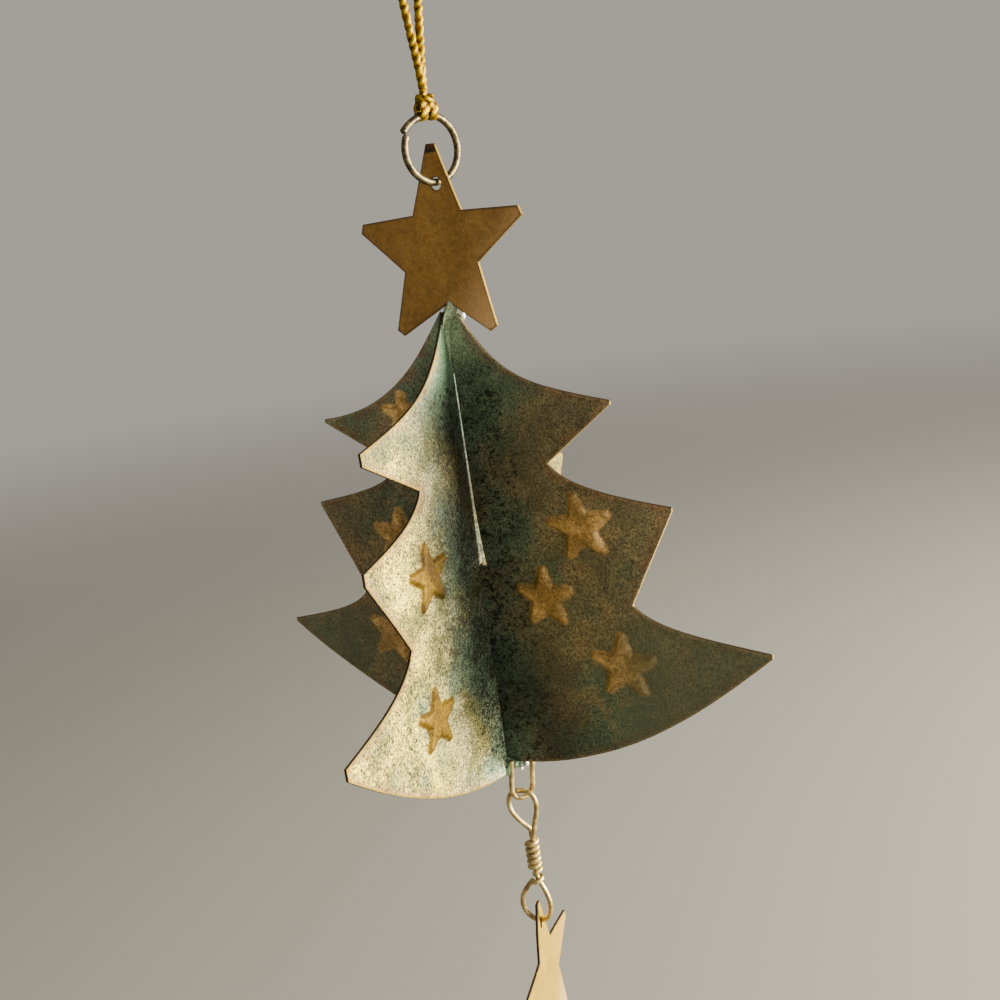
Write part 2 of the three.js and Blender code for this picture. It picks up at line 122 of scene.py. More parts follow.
def roughened(points: np.ndarray, amount: float, seed: int, wavelength: float) -> np.ndarray:
    """Returns points that are moved a little, by a pattern of its own along each axis."""
    return points + amount * np.column_stack([ripple(points, seed + i, wavelength) for i in range(3)])


def polar(radius: float, degrees: float) -> Pair:
    """Returns the two coordinates of a point at a radius and an angle."""
    return radius * math.cos(math.radians(degrees)), radius * math.sin(math.radians(degrees))


def turned(points: Sequence[Sequence[float]], degrees: float) -> np.ndarray:
    """Turns points about Z.

    Args:
        points: three coordinates each.
        degrees: how far they are turned.

    Returns:
        The turned points.
    """
    cosine, sine = polar(1, degrees)
    x, y, z = np.asarray(points, float).T
    return np.column_stack([x * cosine - y * sine, x * sine + y * cosine, z])


def placed(name: str, data: bpy.types.ID) -> bpy.types.Object:
    """Puts a new object into the scene.

    Args:
        name: of the object.
        data: its mesh, light or camera.

    Returns:
        The object.
    """
    item = bpy.data.objects.new(name, data)
    bpy.context.scene.collection.objects.link(item)
    return item


def smooth_route(points: Sequence[Sequence[float]], spacing: float) -> np.ndarray:
    """Draws the centripetal spline through points, as the solids' tubes follow it.

    Args:
        points: what the route passes through.
        spacing: the distance between the points that come back, about.

    Returns:
        Evenly spaced points on the spline.
    """
    knots = np.asarray(points, float)
    first = 2 * knots[0] - knots[1]
    last = 2 * knots[-1] - knots[-2]
    padded = np.vstack([first, knots, last])
    samples = []
    for i in range(1, len(padded) - 2):
        p0, p1, p2, p3 = padded[i - 1 : i + 3]
        t1 = np.linalg.norm(p1 - p0) ** 0.5
        t2 = t1 + np.linalg.norm(p2 - p1) ** 0.5
        t3 = t2 + np.linalg.norm(p3 - p2) ** 0.5
        t = np.linspace(t1, t2, 24, endpoint=False)[:, None]
        a1 = (t1 - t) / t1 * p0 + t / t1 * p1
        a2 = (t2 - t) / (t2 - t1) * p1 + (t - t1) / (t2 - t1) * p2
        a3 = (t3 - t) / (t3 - t2) * p2 + (t - t2) / (t3 - t2) * p3
        b1 = (t2 - t) / t2 * a1 + t / t2 * a2
        b2 = (t3 - t) / (t3 - t1) * a2 + (t - t1) / (t3 - t1) * a3
        samples.append((t2 - t) / (t2 - t1) * b1 + (t - t1) / (t2 - t1) * b2)
    dense = np.vstack([*samples, knots[-1:]])
    lengths = np.r_[0, np.cumsum(np.linalg.norm(np.diff(dense, axis=0), axis=1))]
    count = max(2, round(lengths[-1] / spacing) + 1)
    wanted = np.linspace(0, lengths[-1], count)
    return np.column_stack([np.interp(wanted, lengths, dense[:, axis]) for axis in range(3)])


class Value:
    """A number that varies over a surface: one socket of a material, with the usual arithmetic."""

    def __init__(self, tree: "Nodes", socket: bpy.types.NodeSocket) -> None:
        """Wraps a socket of a node tree."""
        self.tree = tree
        self.socket = socket

    def _math(self, operation: str, first: "Value | float", second: "Value | float") -> "Value":
        """Adds a Math node and returns what it gives."""
        node = self.tree.node("ShaderNodeMath", {"operation": operation}, {0: first, 1: second})
        return Value(self.tree, node.outputs[0])

    def __add__(self, other: "Value | float") -> "Value":
        """Returns the sum."""
        return self._math("ADD", self, other)

    __radd__ = __add__

    def __sub__(self, other: "Value | float") -> "Value":
        """Returns the difference."""
        return self._math("SUBTRACT", self, other)

    def __rsub__(self, other: float) -> "Value":
        """Returns a number less this value."""
        return self._math("SUBTRACT", other, self)

    def __mul__(self, other: "Value | float") -> "Value":
        """Returns the product."""
        return self._math("MULTIPLY", self, other)

    def __pow__(self, other: float) -> "Value":
        """Returns the power."""
        return self._math("POWER", self, other)

    def eased(self, low: float, high: float) -> "Value":
        """Returns 0 below low and 1 above high, eased between them."""
        node = self.tree.node(
            "ShaderNodeMapRange",
            {"interpolation_type": "SMOOTHSTEP"},
            {"Value": self, "From Min": low, "From Max": high, "To Min": 0.0, "To Max": 1.0},
        )
        return Value(self.tree, node.outputs["Result"])


Feed = Value | float | Sequence[float] | bpy.types.NodeSocket


class Nodes:
    """The node tree of one material."""

    def __init__(self, name: str) -> None:
        """Makes an empty material with one surface shader.

        Args:
            name: the material's name.
        """
        self.material = bpy.data.materials.new(name)
        self.material.use_nodes = True
        self.tree = self.material.node_tree
        self.tree.nodes.clear()
        self.shader = self.node("ShaderNodeBsdfPrincipled")
        self.node("ShaderNodeOutputMaterial", {}, {"Surface": self.shader.outputs[0]})
        self.place = self.node("ShaderNodeTexCoord").outputs["Object"]

    def node(
        self, kind: str, settings: dict | None = None, feeds: dict[str | int, Feed] | None = None
    ) -> bpy.types.Node:
        """Adds one node.

        Args:
            kind: the node's type.
            settings: what is set on the node itself. A ramp's stops come as "stops".
            feeds: a value or a link for each socket, by its name or number.

        Returns:
            The node.
        """
        node = self.tree.nodes.new(kind)
        for key, value in (settings or {}).items():
            if key == "stops":
                self._set_stops(node.color_ramp, value)
            else:
                setattr(node, key, value)
        for key, feed in (feeds or {}).items():
            self._feed(node.inputs[key], feed)
        return node

    def _feed(self, socket: bpy.types.NodeSocket, feed: Feed) -> None:
        """Links something to a socket, or sets a number or a colour on it.

        Args:
            socket: what is fed.
            feed: a value, a socket, a number or a colour.
        """
        source = feed.socket if isinstance(feed, Value) else feed
        if isinstance(source, bpy.types.NodeSocket):
            self.tree.links.new(source, socket)
        elif isinstance(source, (int, float)):
            socket.default_value = source
        else:
            socket.default_value = (*source, 1.0)

    @staticmethod
    def _set_stops(ramp: bpy.types.ColorRamp, stops: Sequence[tuple[float, Colour]]) -> None:
        """Gives a ramp its stops.

        Args:
            ramp: of the node.
            stops: the place and the colour of each.
        """
        while len(ramp.elements) < len(stops):
            ramp.elements.new(1.0)
        for element, (position, colour) in zip(ramp.elements, stops):
            element.position = position
            element.color = (*colour, 1.0)

    def surface(self, **feeds: Feed) -> None:
        """Feeds the surface shader's sockets, named with _ for a space."""
        for name, feed in feeds.items():
            self._feed(self.shader.inputs[name.replace("_", " ").title().replace("Ior", "IOR")], feed)

    def noise(self, size: float, detail: float, roughness: float, distortion: float = 0.0) -> Value:
        """Makes an even noise.

        Args:
            size: of one blotch, in millimetres.
            detail: how many finer layers it has.
            roughness: how strong these are.
            distortion: how far it is stirred.

        Returns:
            The noise, around a half.
        """
        feeds = {
            "Vector": self.place,
            "Scale": 1 / (size * METRE),
            "Detail": detail,
            "Roughness": roughness,
            "Distortion": distortion,
        }
        return Value(self, self.node("ShaderNodeTexNoise", {}, feeds).outputs[0])

    def measured(self, name: str) -> Value:
        """Returns a number that the mesh holds at each point."""
        return Value(self, self.node("ShaderNodeAttribute", {"attribute_name": name}).outputs["Fac"])

    def along(self, axis: int) -> Value:
        """Returns one coordinate of the place on the piece, in millimetres."""
        split = self.node("ShaderNodeSeparateXYZ", {}, {0: self.place})
        return Value(self, split.outputs[axis]) * (1 / METRE)

    def mixed(self, share: Feed, first: Feed, second: Feed, blend: str = "MIX") -> bpy.types.NodeSocket:
        """Mixes two colours.

        Args:
            share: how much of the second, from 0 to 1.
            first: a colour.
            second: another.
            blend: how they are laid over each other.

        Returns:
            The colour's socket.
        """
        settings = {"data_type": "RGBA", "blend_type": blend}
        return self.node("ShaderNodeMix", settings, {0: share, 6: first, 7: second}).outputs[2]

    def sheared(self, colour: Feed, dull: Colour, bright: Colour) -> bpy.types.NodeSocket:
        """Lays bare metal over the cut edge, dull, with a painted highlight where the edge faces the light.
        """
        metal = self.mixed(self.measured("painted_glint"), dull, bright)
        return self.mixed(1 - self.measured("snip").eased(0.03, 0.1), colour, metal)

    def ramp(self, share: Value, stops: Sequence[tuple[float, Colour]]) -> bpy.types.NodeSocket:
        """Returns a colour that runs through stops."""
        return self.node("ShaderNodeValToRGB", {"stops": stops}, {0: share}).outputs[0]

    def shaded(self, colour: Feed, amount: Value) -> bpy.types.NodeSocket:
        """Returns a colour made lighter or darker by an amount around 1."""
        grey = self.node("ShaderNodeCombineColor", {}, {0: amount, 1: amount, 2: amount}).outputs[0]
        return self.mixed(1.0, colour, grey, "MULTIPLY")

    def bump(self, height: Value, depth: float, strength: float) -> bpy.types.NodeSocket:
        """Returns a normal for a height from 0 to 1 that stands for a depth in millimetres."""
        feeds = {"Height": height, "Distance": depth * METRE, "Strength": strength}
        return self.node("ShaderNodeBump", {}, feeds).outputs[0]


@dataclass(frozen=True)
class Patina:
    """Green and brown patina over sheet brass, with gold raised stars and cut edges, and with light and
    shade painted over it.
    """

    bronze: Colour = srgb(100, 94, 68)
    verdigris: Colour = srgb(80, 95, 74)
    fleck: Colour = srgb(156, 138, 84)
    frost: Colour = srgb(136, 144, 112)
    tarnish: Colour = srgb(18, 19, 11)
    rust: Colour = srgb(100, 74, 54)
    solder: Colour = srgb(108, 122, 94)
    gold: Colour = srgb(148, 118, 66)
    pale_gold: Colour = srgb(202, 166, 108)
    # The cut edge's own colour, and its painted highlight for where it faces the light
    cut: Colour = srgb(50, 40, 26)
    painted_lit_cut: Colour = srgb(150, 126, 74)
    # Shares, from 0 to 1, of the flecks, the dark specks, the worn rim and the lower tips' green
    gilt: float = 0.32
    speckle: float = 0.5
    wear: float = 0.15
    slate: float = 0.45
    # How far from the axis the black spots reach, in millimetres, and how thick they lie
    scatter: float = 20
    spots: float = 0.038
    # The noise over which specks fade out, and from which brown shows
    specks: Pair = (0.38, 0.48)
    browning: float = 0.53
    # How far down the calm top reaches, and how much narrower the middle is at the foot
    calm_to: float = 12
    foot_shift: float = -9
    # Painted light and shade: how much brighter the plate is painted at the foot, to the left, at the tips,
    # at the top and at the lower lip; a negative share paints it darker
    foot_light: float = -0.6
    left_light: float = 0.35
    tip_light: float = 0.5
    top_light: float = 0.45
    lip_light: float = 0.7
    # Painted shade: how much darker the plate is painted between the vanes
    between_vanes_shade: float = 0.0

    def material(self, name: str) -> bpy.types.Material:
        """Makes the material of one plate.

        Args:
            name: the material's name.

        Returns:
            The material.
        """
        nodes = Nodes(name)
        edge = nodes.measured("edge")
        star = nodes.measured("star")
        across = nodes.along(0) - CROSSING_X
        back = nodes.along(1)
        from_axis = (across * across + back * back) ** 0.5
        down = (nodes.along(2) - APEX_Z) * -1.0
        cloud = nodes.noise(15, 3, 0.55)
        drift = nodes.noise(7, 3, 0.6, 0.5)
        blotch = nodes.noise(3.6, 5, 0.7, 1.0)
        mottle = nodes.noise(0.9, 5, 0.8, 0.6)
        grain = nodes.noise(0.4, 3, 0.8)

        # Where a place lies on the plate
        at_top = 1 - down.eased(5, 24)
        calm = 1 - down.eased(self.calm_to * 0.4, self.calm_to)
        lively = 1 - calm * 0.8
        low = down.eased(58, 84)
        skirt = down.eased(50, 66)
        near = 1 - (from_axis + low * self.foot_shift).eased(3, 17)
        close = 1 - from_axis.eased(3, 20)
        middle = from_axis.eased(6, 15) * (1 - from_axis.eased(24, 40) * 0.6)

        # Green over bronze, then brown patches, bright flecks, dark specks and black spots
        green = at_top * 0.5 + close * 0.45 + low * 0.3 + (cloud - 0.5) * 2.6 + (mottle - 0.5) * 1.4
        colour = nodes.mixed(green.eased(0.05, 0.6), self.bronze, self.verdigris)
        colour = nodes.mixed(calm, colour, self.solder)
        brown = (drift * 0.6 + blotch * 0.25 + mottle * 0.25).eased(self.browning, self.browning + 0.12)
        colour = nodes.mixed(brown * lively * (1 - close * 0.8) * 0.55, colour, self.rust)
        bright = grain * 0.45 + mottle * 0.3 + drift * 0.25 + middle * 0.03 - near * 0.03
        bright = bright.eased(0.5, 0.66)
        flecks = nodes.mixed(1 - from_axis.eased(6, 26), self.fleck, self.frost)
        colour = nodes.mixed(bright * lively * (1 - close * 0.6) * self.gilt, colour, flecks)
        dark = 1 - (grain * 0.5 + mottle * 0.5 - near * 0.02).eased(*self.specks)
        colour = nodes.mixed(dark * lively * self.speckle, colour, self.tarnish)
        rim = (1 - edge.eased(0.3, 2.6)) * (blotch * 0.6 + mottle * 0.5).eased(0.46, 0.6)
        colour = nodes.mixed(rim * 0.7, colour, self.rust)
        scatter = (1 - from_axis.eased(5, self.scatter)) * down.eased(8, 16)
        black = (mottle * 0.75 + blotch * 0.25 + scatter * self.spots).eased(0.56, 0.585)
        colour = nodes.mixed(black * (0.1 + scatter * 0.85), colour, self.tarnish)

        # The gold of the raised stars
        gilding = (drift * 0.5 + mottle * 0.5).eased(0.45, 0.6)
        gold = nodes.mixed(gilding * 0.7, self.gold, self.pale_gold)
        rubbed = (blotch * 0.6 + mottle * 0.4).eased(0.55, 0.66)
        gold = nodes.mixed(rubbed * 0.45, gold, self.bronze)
        colour = nodes.mixed(star, colour, gold)

        # An uneven tone from the grain and the drift, and the lower tips' green
        uneven = (0.5 + grain.eased(0.3, 0.7)) * (0.8 + drift.eased(0.38, 0.62) * 0.35)
        colour = nodes.shaded(colour, uneven)
        colour = nodes.mixed(from_axis.eased(18, 34) * skirt * self.slate, colour, self.verdigris)
        # Painted light at the foot, the tips, the top, the left and the lower lip, and painted shade next
        # to the axis and between the vanes; a negative foot share paints shade at the foot instead
        at_foot = low * (1 - from_axis.eased(8, 22)) * self.foot_light
        tips = from_axis.eased(20, 38) * (1 - skirt) * self.tip_light
        upper = 1 + (1 - down.eased(22, 34)) * 1.4
        left = (across * -1.0).eased(2, 9) * upper * self.left_light
        painted_light = tips + at_top * self.top_light + left - near * lively * 0.2
        lip = (1 - from_axis.eased(4, 16)) * down.eased(68, 90) * self.lip_light
        at_axis = (1 - from_axis.eased(4, 14)) * down.eased(34, 48)
        between_vanes_shade = (1 - from_axis.eased(12, 30)) * (1 - at_axis * 0.9)
        between_vanes_shade = between_vanes_shade * down.eased(8, 18) * (1 - down.eased(58, 76)) * self.between_vanes_shade
        colour = nodes.shaded(colour, (1 + at_foot + painted_light + lip) * (1 - between_vanes_shade))

        # The worn rim, and the cut edge with its painted highlight where it faces the light
        worn = (1 - edge.eased(0.25, 0.6)) * (mottle * 0.6 + grain * 0.4).eased(0.4, 0.52)
        colour = nodes.mixed(worn * self.wear, colour, self.pale_gold)
        nodes.surface(
            base_color=nodes.sheared(colour, self.cut, self.painted_lit_cut),
            metallic=0.3 + star * 0.25 + bright * 0.2,
            roughness=0.6 - bright * 0.1,
            specular_ior_level=0.25,
            normal=nodes.bump(grain * 0.6 + mottle * 0.8, 0.12, 0.9),
        )
        return nodes.material


@dataclass(frozen=True)
class LacqueredBrass:
    """Brown-gold lacquer on sheet brass, mottled, with scorched and worn places, a painted line of shade
    along the outline and a painted highlight on the cut edge where it faces the light.
    """

    body: Colour = srgb(174, 132, 62)
    deep: Colour = srgb(132, 98, 44)
    rose: Colour = srgb(140, 88, 46)
    pale: Colour = srgb(168, 134, 74)
    bared: Colour = srgb(228, 184, 124)
    scorch: Colour = srgb(48, 36, 20)
    # The cut edge's own colour, and its painted highlight for where it faces the light
    cut: Colour = srgb(60, 44, 26)
    painted_lit_cut: Colour = srgb(132, 106, 34)
    lacquer: float = 0.16

    def material(self, name: str) -> bpy.types.Material:
        """Makes the stars' material.

        Args:
            name: the material's name.

        Returns:
            The material.
        """
        nodes = Nodes(name)
        edge = nodes.measured("edge")
        scorched = nodes.measured("scorch")
        blotch = nodes.noise(5, 4, 0.6, 0.4)
        grain = nodes.noise(0.4, 3, 0.75)
        speck = nodes.noise(1.2, 4, 0.75)
        mottled = (blotch * 0.4 + speck * 0.4 + grain * 0.3).eased(0.4, 0.72)
        colour = nodes.mixed(mottled, self.deep, self.body)
        for size, roughness, stain in ((8, 0.6, self.rose), (11, 0.5, self.pale)):
            stained = (nodes.noise(size, 3, roughness) * 0.7 + speck * 0.3).eased(0.55, 0.7)
            colour = nodes.mixed(stained * 0.5, colour, stain)
        dots = nodes.noise(1.6, 1, 0.4).eased(0.74, 0.8)
        colour = nodes.mixed(dots * 0.8, colour, self.scorch)
        colour = nodes.mixed((scorched + speck * scorched * 0.8).eased(0.3, 0.9), colour, self.scorch)
        rim = (1 - edge.eased(0.1, 0.9)) * speck.eased(0.45, 0.6)
        colour = nodes.mixed(rim * 0.7, colour, self.rose)
        colour = nodes.shaded(colour, 0.7 + grain * 0.6)
        rubbed = nodes.measured("rubbed") * (0.5 + speck)
        colour = nodes.mixed(rubbed * 0.85, colour, self.bared)
        # A painted line of shade along the whole outline, in the scorch colour
        colour = nodes.mixed((1 - edge.eased(0.14, 0.42)) * 0.55, colour, self.scorch)
        nodes.surface(
            base_color=nodes.sheared(colour, self.cut, self.painted_lit_cut),
            metallic=0.75,
            roughness=0.4 + grain * 0.16,
            coat_weight=self.lacquer,
            coat_roughness=0.3,
            normal=nodes.bump(grain * 0.5 + speck * 0.6, 0.04, 0.6),
        )
        return nodes.material


@dataclass(frozen=True)
class WornWire:
    """Drawn wire with tarnish in the hollows and bright worn places."""

    bright: Colour
    dull: Colour
    dark: Colour
    tarnish: float

    def material(self, name: str) -> bpy.types.Material:
        """Makes the wire's material.

        Args:
            name: the material's name.

        Returns:
            The material.
        """
        nodes = Nodes(name)
        patches = nodes.noise(1.7, 4, 0.65, 0.5)
        fine = nodes.noise(0.35, 3, 0.7)
        colour = nodes.mixed((patches + fine * 0.3).eased(0.5, 0.8), self.dull, self.bright)
        hollows = (nodes.noise(1.0, 4, 0.7) + fine * 0.2).eased(0.62, 0.75)
        colour = nodes.mixed(hollows * self.tarnish, colour, self.dark)
        nodes.surface(
            base_color=nodes.shaded(colour, 0.8 + fine * 0.4),
            metallic=0.85,
            roughness=0.3 + patches * 0.25,
            normal=nodes.bump(patches * 0.5 + fine * 0.5, 0.05, 0.7),
        )
        return nodes.material


@dataclass(frozen=True)
class Solder:
    """Soft solder, bright where it flowed and green where the patina took."""

    patina: float
    bright: Colour = srgb(205, 204, 196)
    green: Colour = srgb(118, 140, 116)
    dark: Colour = srgb(70, 76, 58)

    def material(self, name: str) -> bpy.types.Material:
        """Makes the solder's material.

        Args:
            name: the material's name.

        Returns:
            The material.
        """
        nodes = Nodes(name)
        blotch = nodes.noise(2.4, 3, 0.6, 0.4)
        fine = nodes.noise(0.5, 3, 0.7)
        colour = nodes.mixed((blotch + self.patina - 0.5).eased(0.42, 0.6), self.bright, self.green)
        colour = nodes.mixed(fine.eased(0.55, 0.7) * 0.5, colour, self.dark)
        nodes.surface(
            base_color=colour,
            metallic=0.55,
            roughness=0.3 + blotch * 0.3,
            normal=nodes.bump(blotch * 0.6 + fine * 0.4, 0.08, 0.7),
        )
        return nodes.material


@dataclass(frozen=True)
class GoldBraid:
    """Braid of gold foil threads, painted lighter on its raised strands as their highlight and darker
    between them as their shade.
    """

    crown: Colour = srgb(142, 122, 0)
    side: Colour = srgb(122, 84, 0)
    hollow: Colour = srgb(46, 30, 0)

    def material(self, name: str) -> bpy.types.Material:
        """Makes the braid's material.

        Args:
            name: the material's name.

        Returns:
            The material.
        """
        nodes = Nodes(name)
        crown = nodes.measured("crown")
        foil = nodes.noise(0.28, 2, 0.7)
        patch = nodes.noise(1.2, 2, 0.5)
        # Painted highlight on the raised strands and painted shade in the hollows between them, stirred by
        # the foil noise
        colour = nodes.ramp(
            crown * 0.75 + foil * 0.45,
            [(0.32, self.hollow), (0.5, self.side), (0.78, self.crown)],
        )
        colour = nodes.mixed(patch.eased(0.5, 0.7) * 0.5, colour, self.side)
        nodes.surface(
            base_color=colour,
            metallic=0.92,
            roughness=0.42 + foil * 0.25,
            normal=nodes.bump(foil, 0.06, 0.8),
        )
        return nodes.material


@dataclass
class Piece:
    """A mesh in the making, in millimetres, and what it becomes."""

    name: str
    points: np.ndarray
    faces: list[tuple[int, ...]]
    marks: dict[str, np.ndarray]

    def finish(
        self,
        body: str | None,
        slot: str,
        material: bpy.types.Material,
        replaces: Sequence[str],
        crease: float,
    ) -> bpy.types.Object:
        """Makes the object, dresses it and puts it on its body.

        Args:
            body: the frame's body that it moves with, or None for a piece that lies between two, which is
                left on none.
            slot: not used.
            material: its finish.
            replaces: the solids that it stands for.
            crease: the angle, in degrees, over which an edge is left sharp.

        Returns:
            The object.
        """
        mesh = bpy.data.meshes.new(self.name)
        mesh.from_pydata((self.points * METRE).tolist(), [], self.faces)
        for name, values in self.marks.items():
            layer = mesh.attributes.new(name, "FLOAT", "POINT")
            layer.data.foreach_set("value", np.asarray(values, np.float32))
        mesh.validate()
        work = bmesh.new()
        work.from_mesh(mesh)
        bmesh.ops.recalc_face_normals(work, faces=work.faces)
        work.to_mesh(mesh)
        work.free()
        mesh.shade_smooth()
        mesh.set_sharp_from_angle(angle=math.radians(crease))
        mesh.materials.append(material)
        piece = placed(self.name, mesh)
        if body:
            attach(piece, body)
        if replaces:
            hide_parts(*replaces)
        log.info("%s: %d faces on body %s", self.name, len(mesh.polygons), body or "two bodies")
        return piece


def skin(rings: int, sides: int, closed: bool = False) -> list[tuple[int, ...]]:
    """Joins rings of points into one skin.

    Args:
        rings: how many there are, one after the other.
        sides: how many points each has.
        closed: whether the last joins the first. If not, each end gets a face.

    Returns:
        The faces.
    """
    faces = []
    for i in range(rings if closed else rings - 1):
        here = i * sides
        ahead = (i + 1) % rings * sides
        for k in range(sides):
            m = (k + 1) % sides
            faces.append((here + k, here + m, ahead + m, ahead + k))
    if not closed:
        faces.append(tuple(range(sides))[::-1])
        faces.append(tuple((rings - 1) * sides + k for k in range(sides)))
    return faces


def tube(
    name: str,
    route: np.ndarray,
    size: Pair,
    sides: int,
    swell: Callable[[np.ndarray, float], np.ndarray] | None = None,
    wide: Sequence[float] | None = None,
    closed: bool = False,
    rounding: float = 0.0,
) -> Piece:
    """Makes a wire or cord along a route.

    Args:
        name: of the piece.
        route: its middle line, evenly spaced, in millimetres.
        size: its half width and half thickness.
        sides: how many points go round it.
        swell: gives what is added to the radius for the angles round it and the way along it.
        wide: a direction that its width keeps to, or None for a round one.
        closed: whether it joins up with itself.
        rounding: how far from each end it starts to round off.

    Returns:
        The piece, with its swell kept as the mark crown.
    """
    ahead = np.roll(route, -1, axis=0)
    tangents = ahead - np.roll(route, 1, axis=0) if closed else np.gradient(route, axis=0)
    tangents /= np.linalg.norm(tangents, axis=1)[:, None]
    way = np.r_[0, np.cumsum(np.linalg.norm((ahead - route)[:-1], axis=1))]
    normal = np.cross(tangents[0], (0.3, 0.2, 0.9) if wide is None else wide)
    angles = np.linspace(0, 2 * math.pi, sides, endpoint=False)
    points = []
    crowns = []
    for i, (centre, tangent) in enumerate(zip(route, tangents)):
        if wide is not None:
            normal = np.cross(tangent, wide)
        normal = normal - tangent * (normal @ tangent)
        normal /= np.linalg.norm(normal)
        side = np.cross(normal, tangent)
        raised = swell(angles, way[i]) if swell else np.zeros(sides)
        end = min(way[i], way[-1] - way[i])
        shrink = 1 - END_LOSS * (1 - end / rounding) ** 2 if end < rounding else 1.0
        half_width, half_thick = ((half + raised) * shrink for half in size)
        points.append(
            centre
            + np.outer(half_width * np.cos(angles), side)
            + np.outer(half_thick * np.sin(angles), normal)
        )
        crowns.append(raised)
    crown = np.concatenate(crowns)
    span = np.ptp(crown) or 1.0
    faces = skin(len(route), sides, closed)
    return Piece(name, np.vstack(points), faces, {"crown": (crown - crown.min()) / span})


def joined(name: str, parts: Sequence[Piece]) -> Piece:
    """Puts several pieces into one.

    Args:
        name: of the whole.
        parts: the pieces, all with the same marks.

    Returns:
        The whole.
    """
    points = []
    faces = []
    start = 0
    for part in parts:
        points.append(part.points)
        faces += [tuple(index + start for index in face) for face in part.faces]
        start += len(part.points)
    marks = {key: np.concatenate([part.marks[key] for part in parts]) for key in parts[0].marks}
    return Piece(name, np.vstack(points), faces, marks)


def braided(angles: np.ndarray, way: float) -> np.ndarray:
    """Raises the braid's strands out of its surface.

    Args:
        angles: round it.
        way: along it, in millimetres.

    Returns:
        How far the surface stands out at each angle.
    """
    plait = 2 * math.pi * way / PLAIT_PITCH
    crossing = np.sin(2 * angles) * math.cos(plait)
    lay = np.cos(2 * angles - 2 * math.pi * way / LAY_PITCH + 0.5 * math.sin(way * 2.1))
    thread = np.sin(6 * angles + 2 * plait)
    return 0.035 * crossing + 0.065 * lay + 0.02 * thread


@dataclass
class HangingCord:
    """The cord loop and the hitch that holds the ring."""

    diameter: float = 1.3
    bend_radius: float = 2.8
    bend_turn: float = 56
    seat_gap: float = 0.3
    # Height over the throat, distance from the plumb line and degrees from X
    strand: tuple[Triple, ...] = (
        (0, 0.86, 120),
        (3, 0.88, 108),
        (5, 0.9, 97),
        (8.3, 1.02, 77),
        (11.6, 1.24, 66),
        (14.9, 1.54, 60),
        (18.5, 1.98, 57),
        (21.6, 2.46, 56),
    )
    # Half width and half thickness of the loop, of a turn, of the collar and of a leg, and the direction
    # that the loop's width keeps to
    loop_half: Pair = (0.7, 0.52)
    turn_half: Pair = (0.86, 0.34)
    collar_half: Pair = (0.62, 0.52)
    leg_half: Pair = (0.62, 0.54)
    loop_wide: Triple = (0.86, 0.5, 0.0)
    spacing: float = 0.1
    path_spacing: float = 2.0
    # The hitch, from the ring's middle: its two flat turns, its collar and one leg of its neck
    turn_shift: float = 0.92
    turn_pinch: float = 0.2
    turn_reach: Pair = (1.06, 1.5)
    turn_foot: float = 4.93
    collar_reach: Pair = (1.2, 1.08)
    collar_height: float = 8.1
    collar_wave: float = 0.22
    leg: tuple[Point, ...] = ((0.95, 0.2, 7.2), (0.75, 0.3, 8.0), (0.55, 0.4, 8.9), (0.53, 0.67, 9.7))

    def route(self) -> np.ndarray:
        """Lays the loop as the solid does: up one strand, over the bend and down the other.

        Returns:
            The points that it passes through.
        """
        half = []
        for height, out, turn in self.strand:
            half.append((*polar(out, turn), THROAT_Z + self.seat_gap + height))
        crown = self.diameter / 2 - self.bend_radius
        for degrees in (0, 30, 60, 90):
            out, up = polar(self.bend_radius, degrees)
            half.append((*polar(out, self.bend_turn), crown + up))
        other = [(-x, -y, z) for x, y, z in reversed(half[:-1])]
        return np.array(half + other)

    def build(self, finish: bpy.types.Material) -> None:
        """Builds the loop and the hitch.

        Args:
            finish: its material.
        """
        route = smooth_route(self.route(), self.spacing)
        loop = tube("cord_loop", route, self.loop_half, 22, braided, wide=self.loop_wide)
        loop_piece = loop.finish(None, "cord", finish, ["hanging_cord"], 180)
        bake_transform(loop_piece)
        hitch_piece = self.hitch().finish("hitch", "cord", finish, ["cord_hitch"], 180)
        [tuple(point * METRE) for point in smooth_route(self.route(), self.path_spacing)]

    def hitch(self) -> Piece:
        """Makes the hitch: two flat turns round the ring's wire, a collar round the neck and the neck.

        Returns:
            The hitch in its place.
        """
        parts = []
        angles = np.linspace(0, 2 * math.pi, 84, endpoint=False)
        back = self.turn_reach[0] * np.sin(angles)
        up = self.turn_foot + self.turn_reach[1] * (1 + np.cos(angles))
        for shift in (-self.turn_shift, self.turn_shift):
            across = shift * (1 - self.turn_pinch * np.cos(angles))
            loop = np.column_stack([across, back, up])
            parts.append(tube("turn", loop, self.turn_half, 20, braided, wide=(1, 0, 0), closed=True))
        angles = np.linspace(0, 2 * math.pi, 108, endpoint=False)
        across = self.collar_reach[0] * np.cos(angles)
        back = self.collar_reach[1] * np.sin(angles)
        up = self.collar_height + self.collar_wave * np.cos(2 * angles)
        collar = np.column_stack([across, back, up])
        parts.append(tube("collar", collar, self.collar_half, 18, braided, wide=(0, 0, 1), closed=True))
        for side in (-1, 1):
            leg = smooth_route([(side * x, side * y, z) for x, y, z in self.leg], self.spacing)
            parts.append(tube("leg", leg, self.leg_half, 20, braided))
        lump = joined("hitch", parts)
        lump.points = turned(lump.points, RING_TURN) + (0, 0, RING_CENTRE_Z)
        return lump


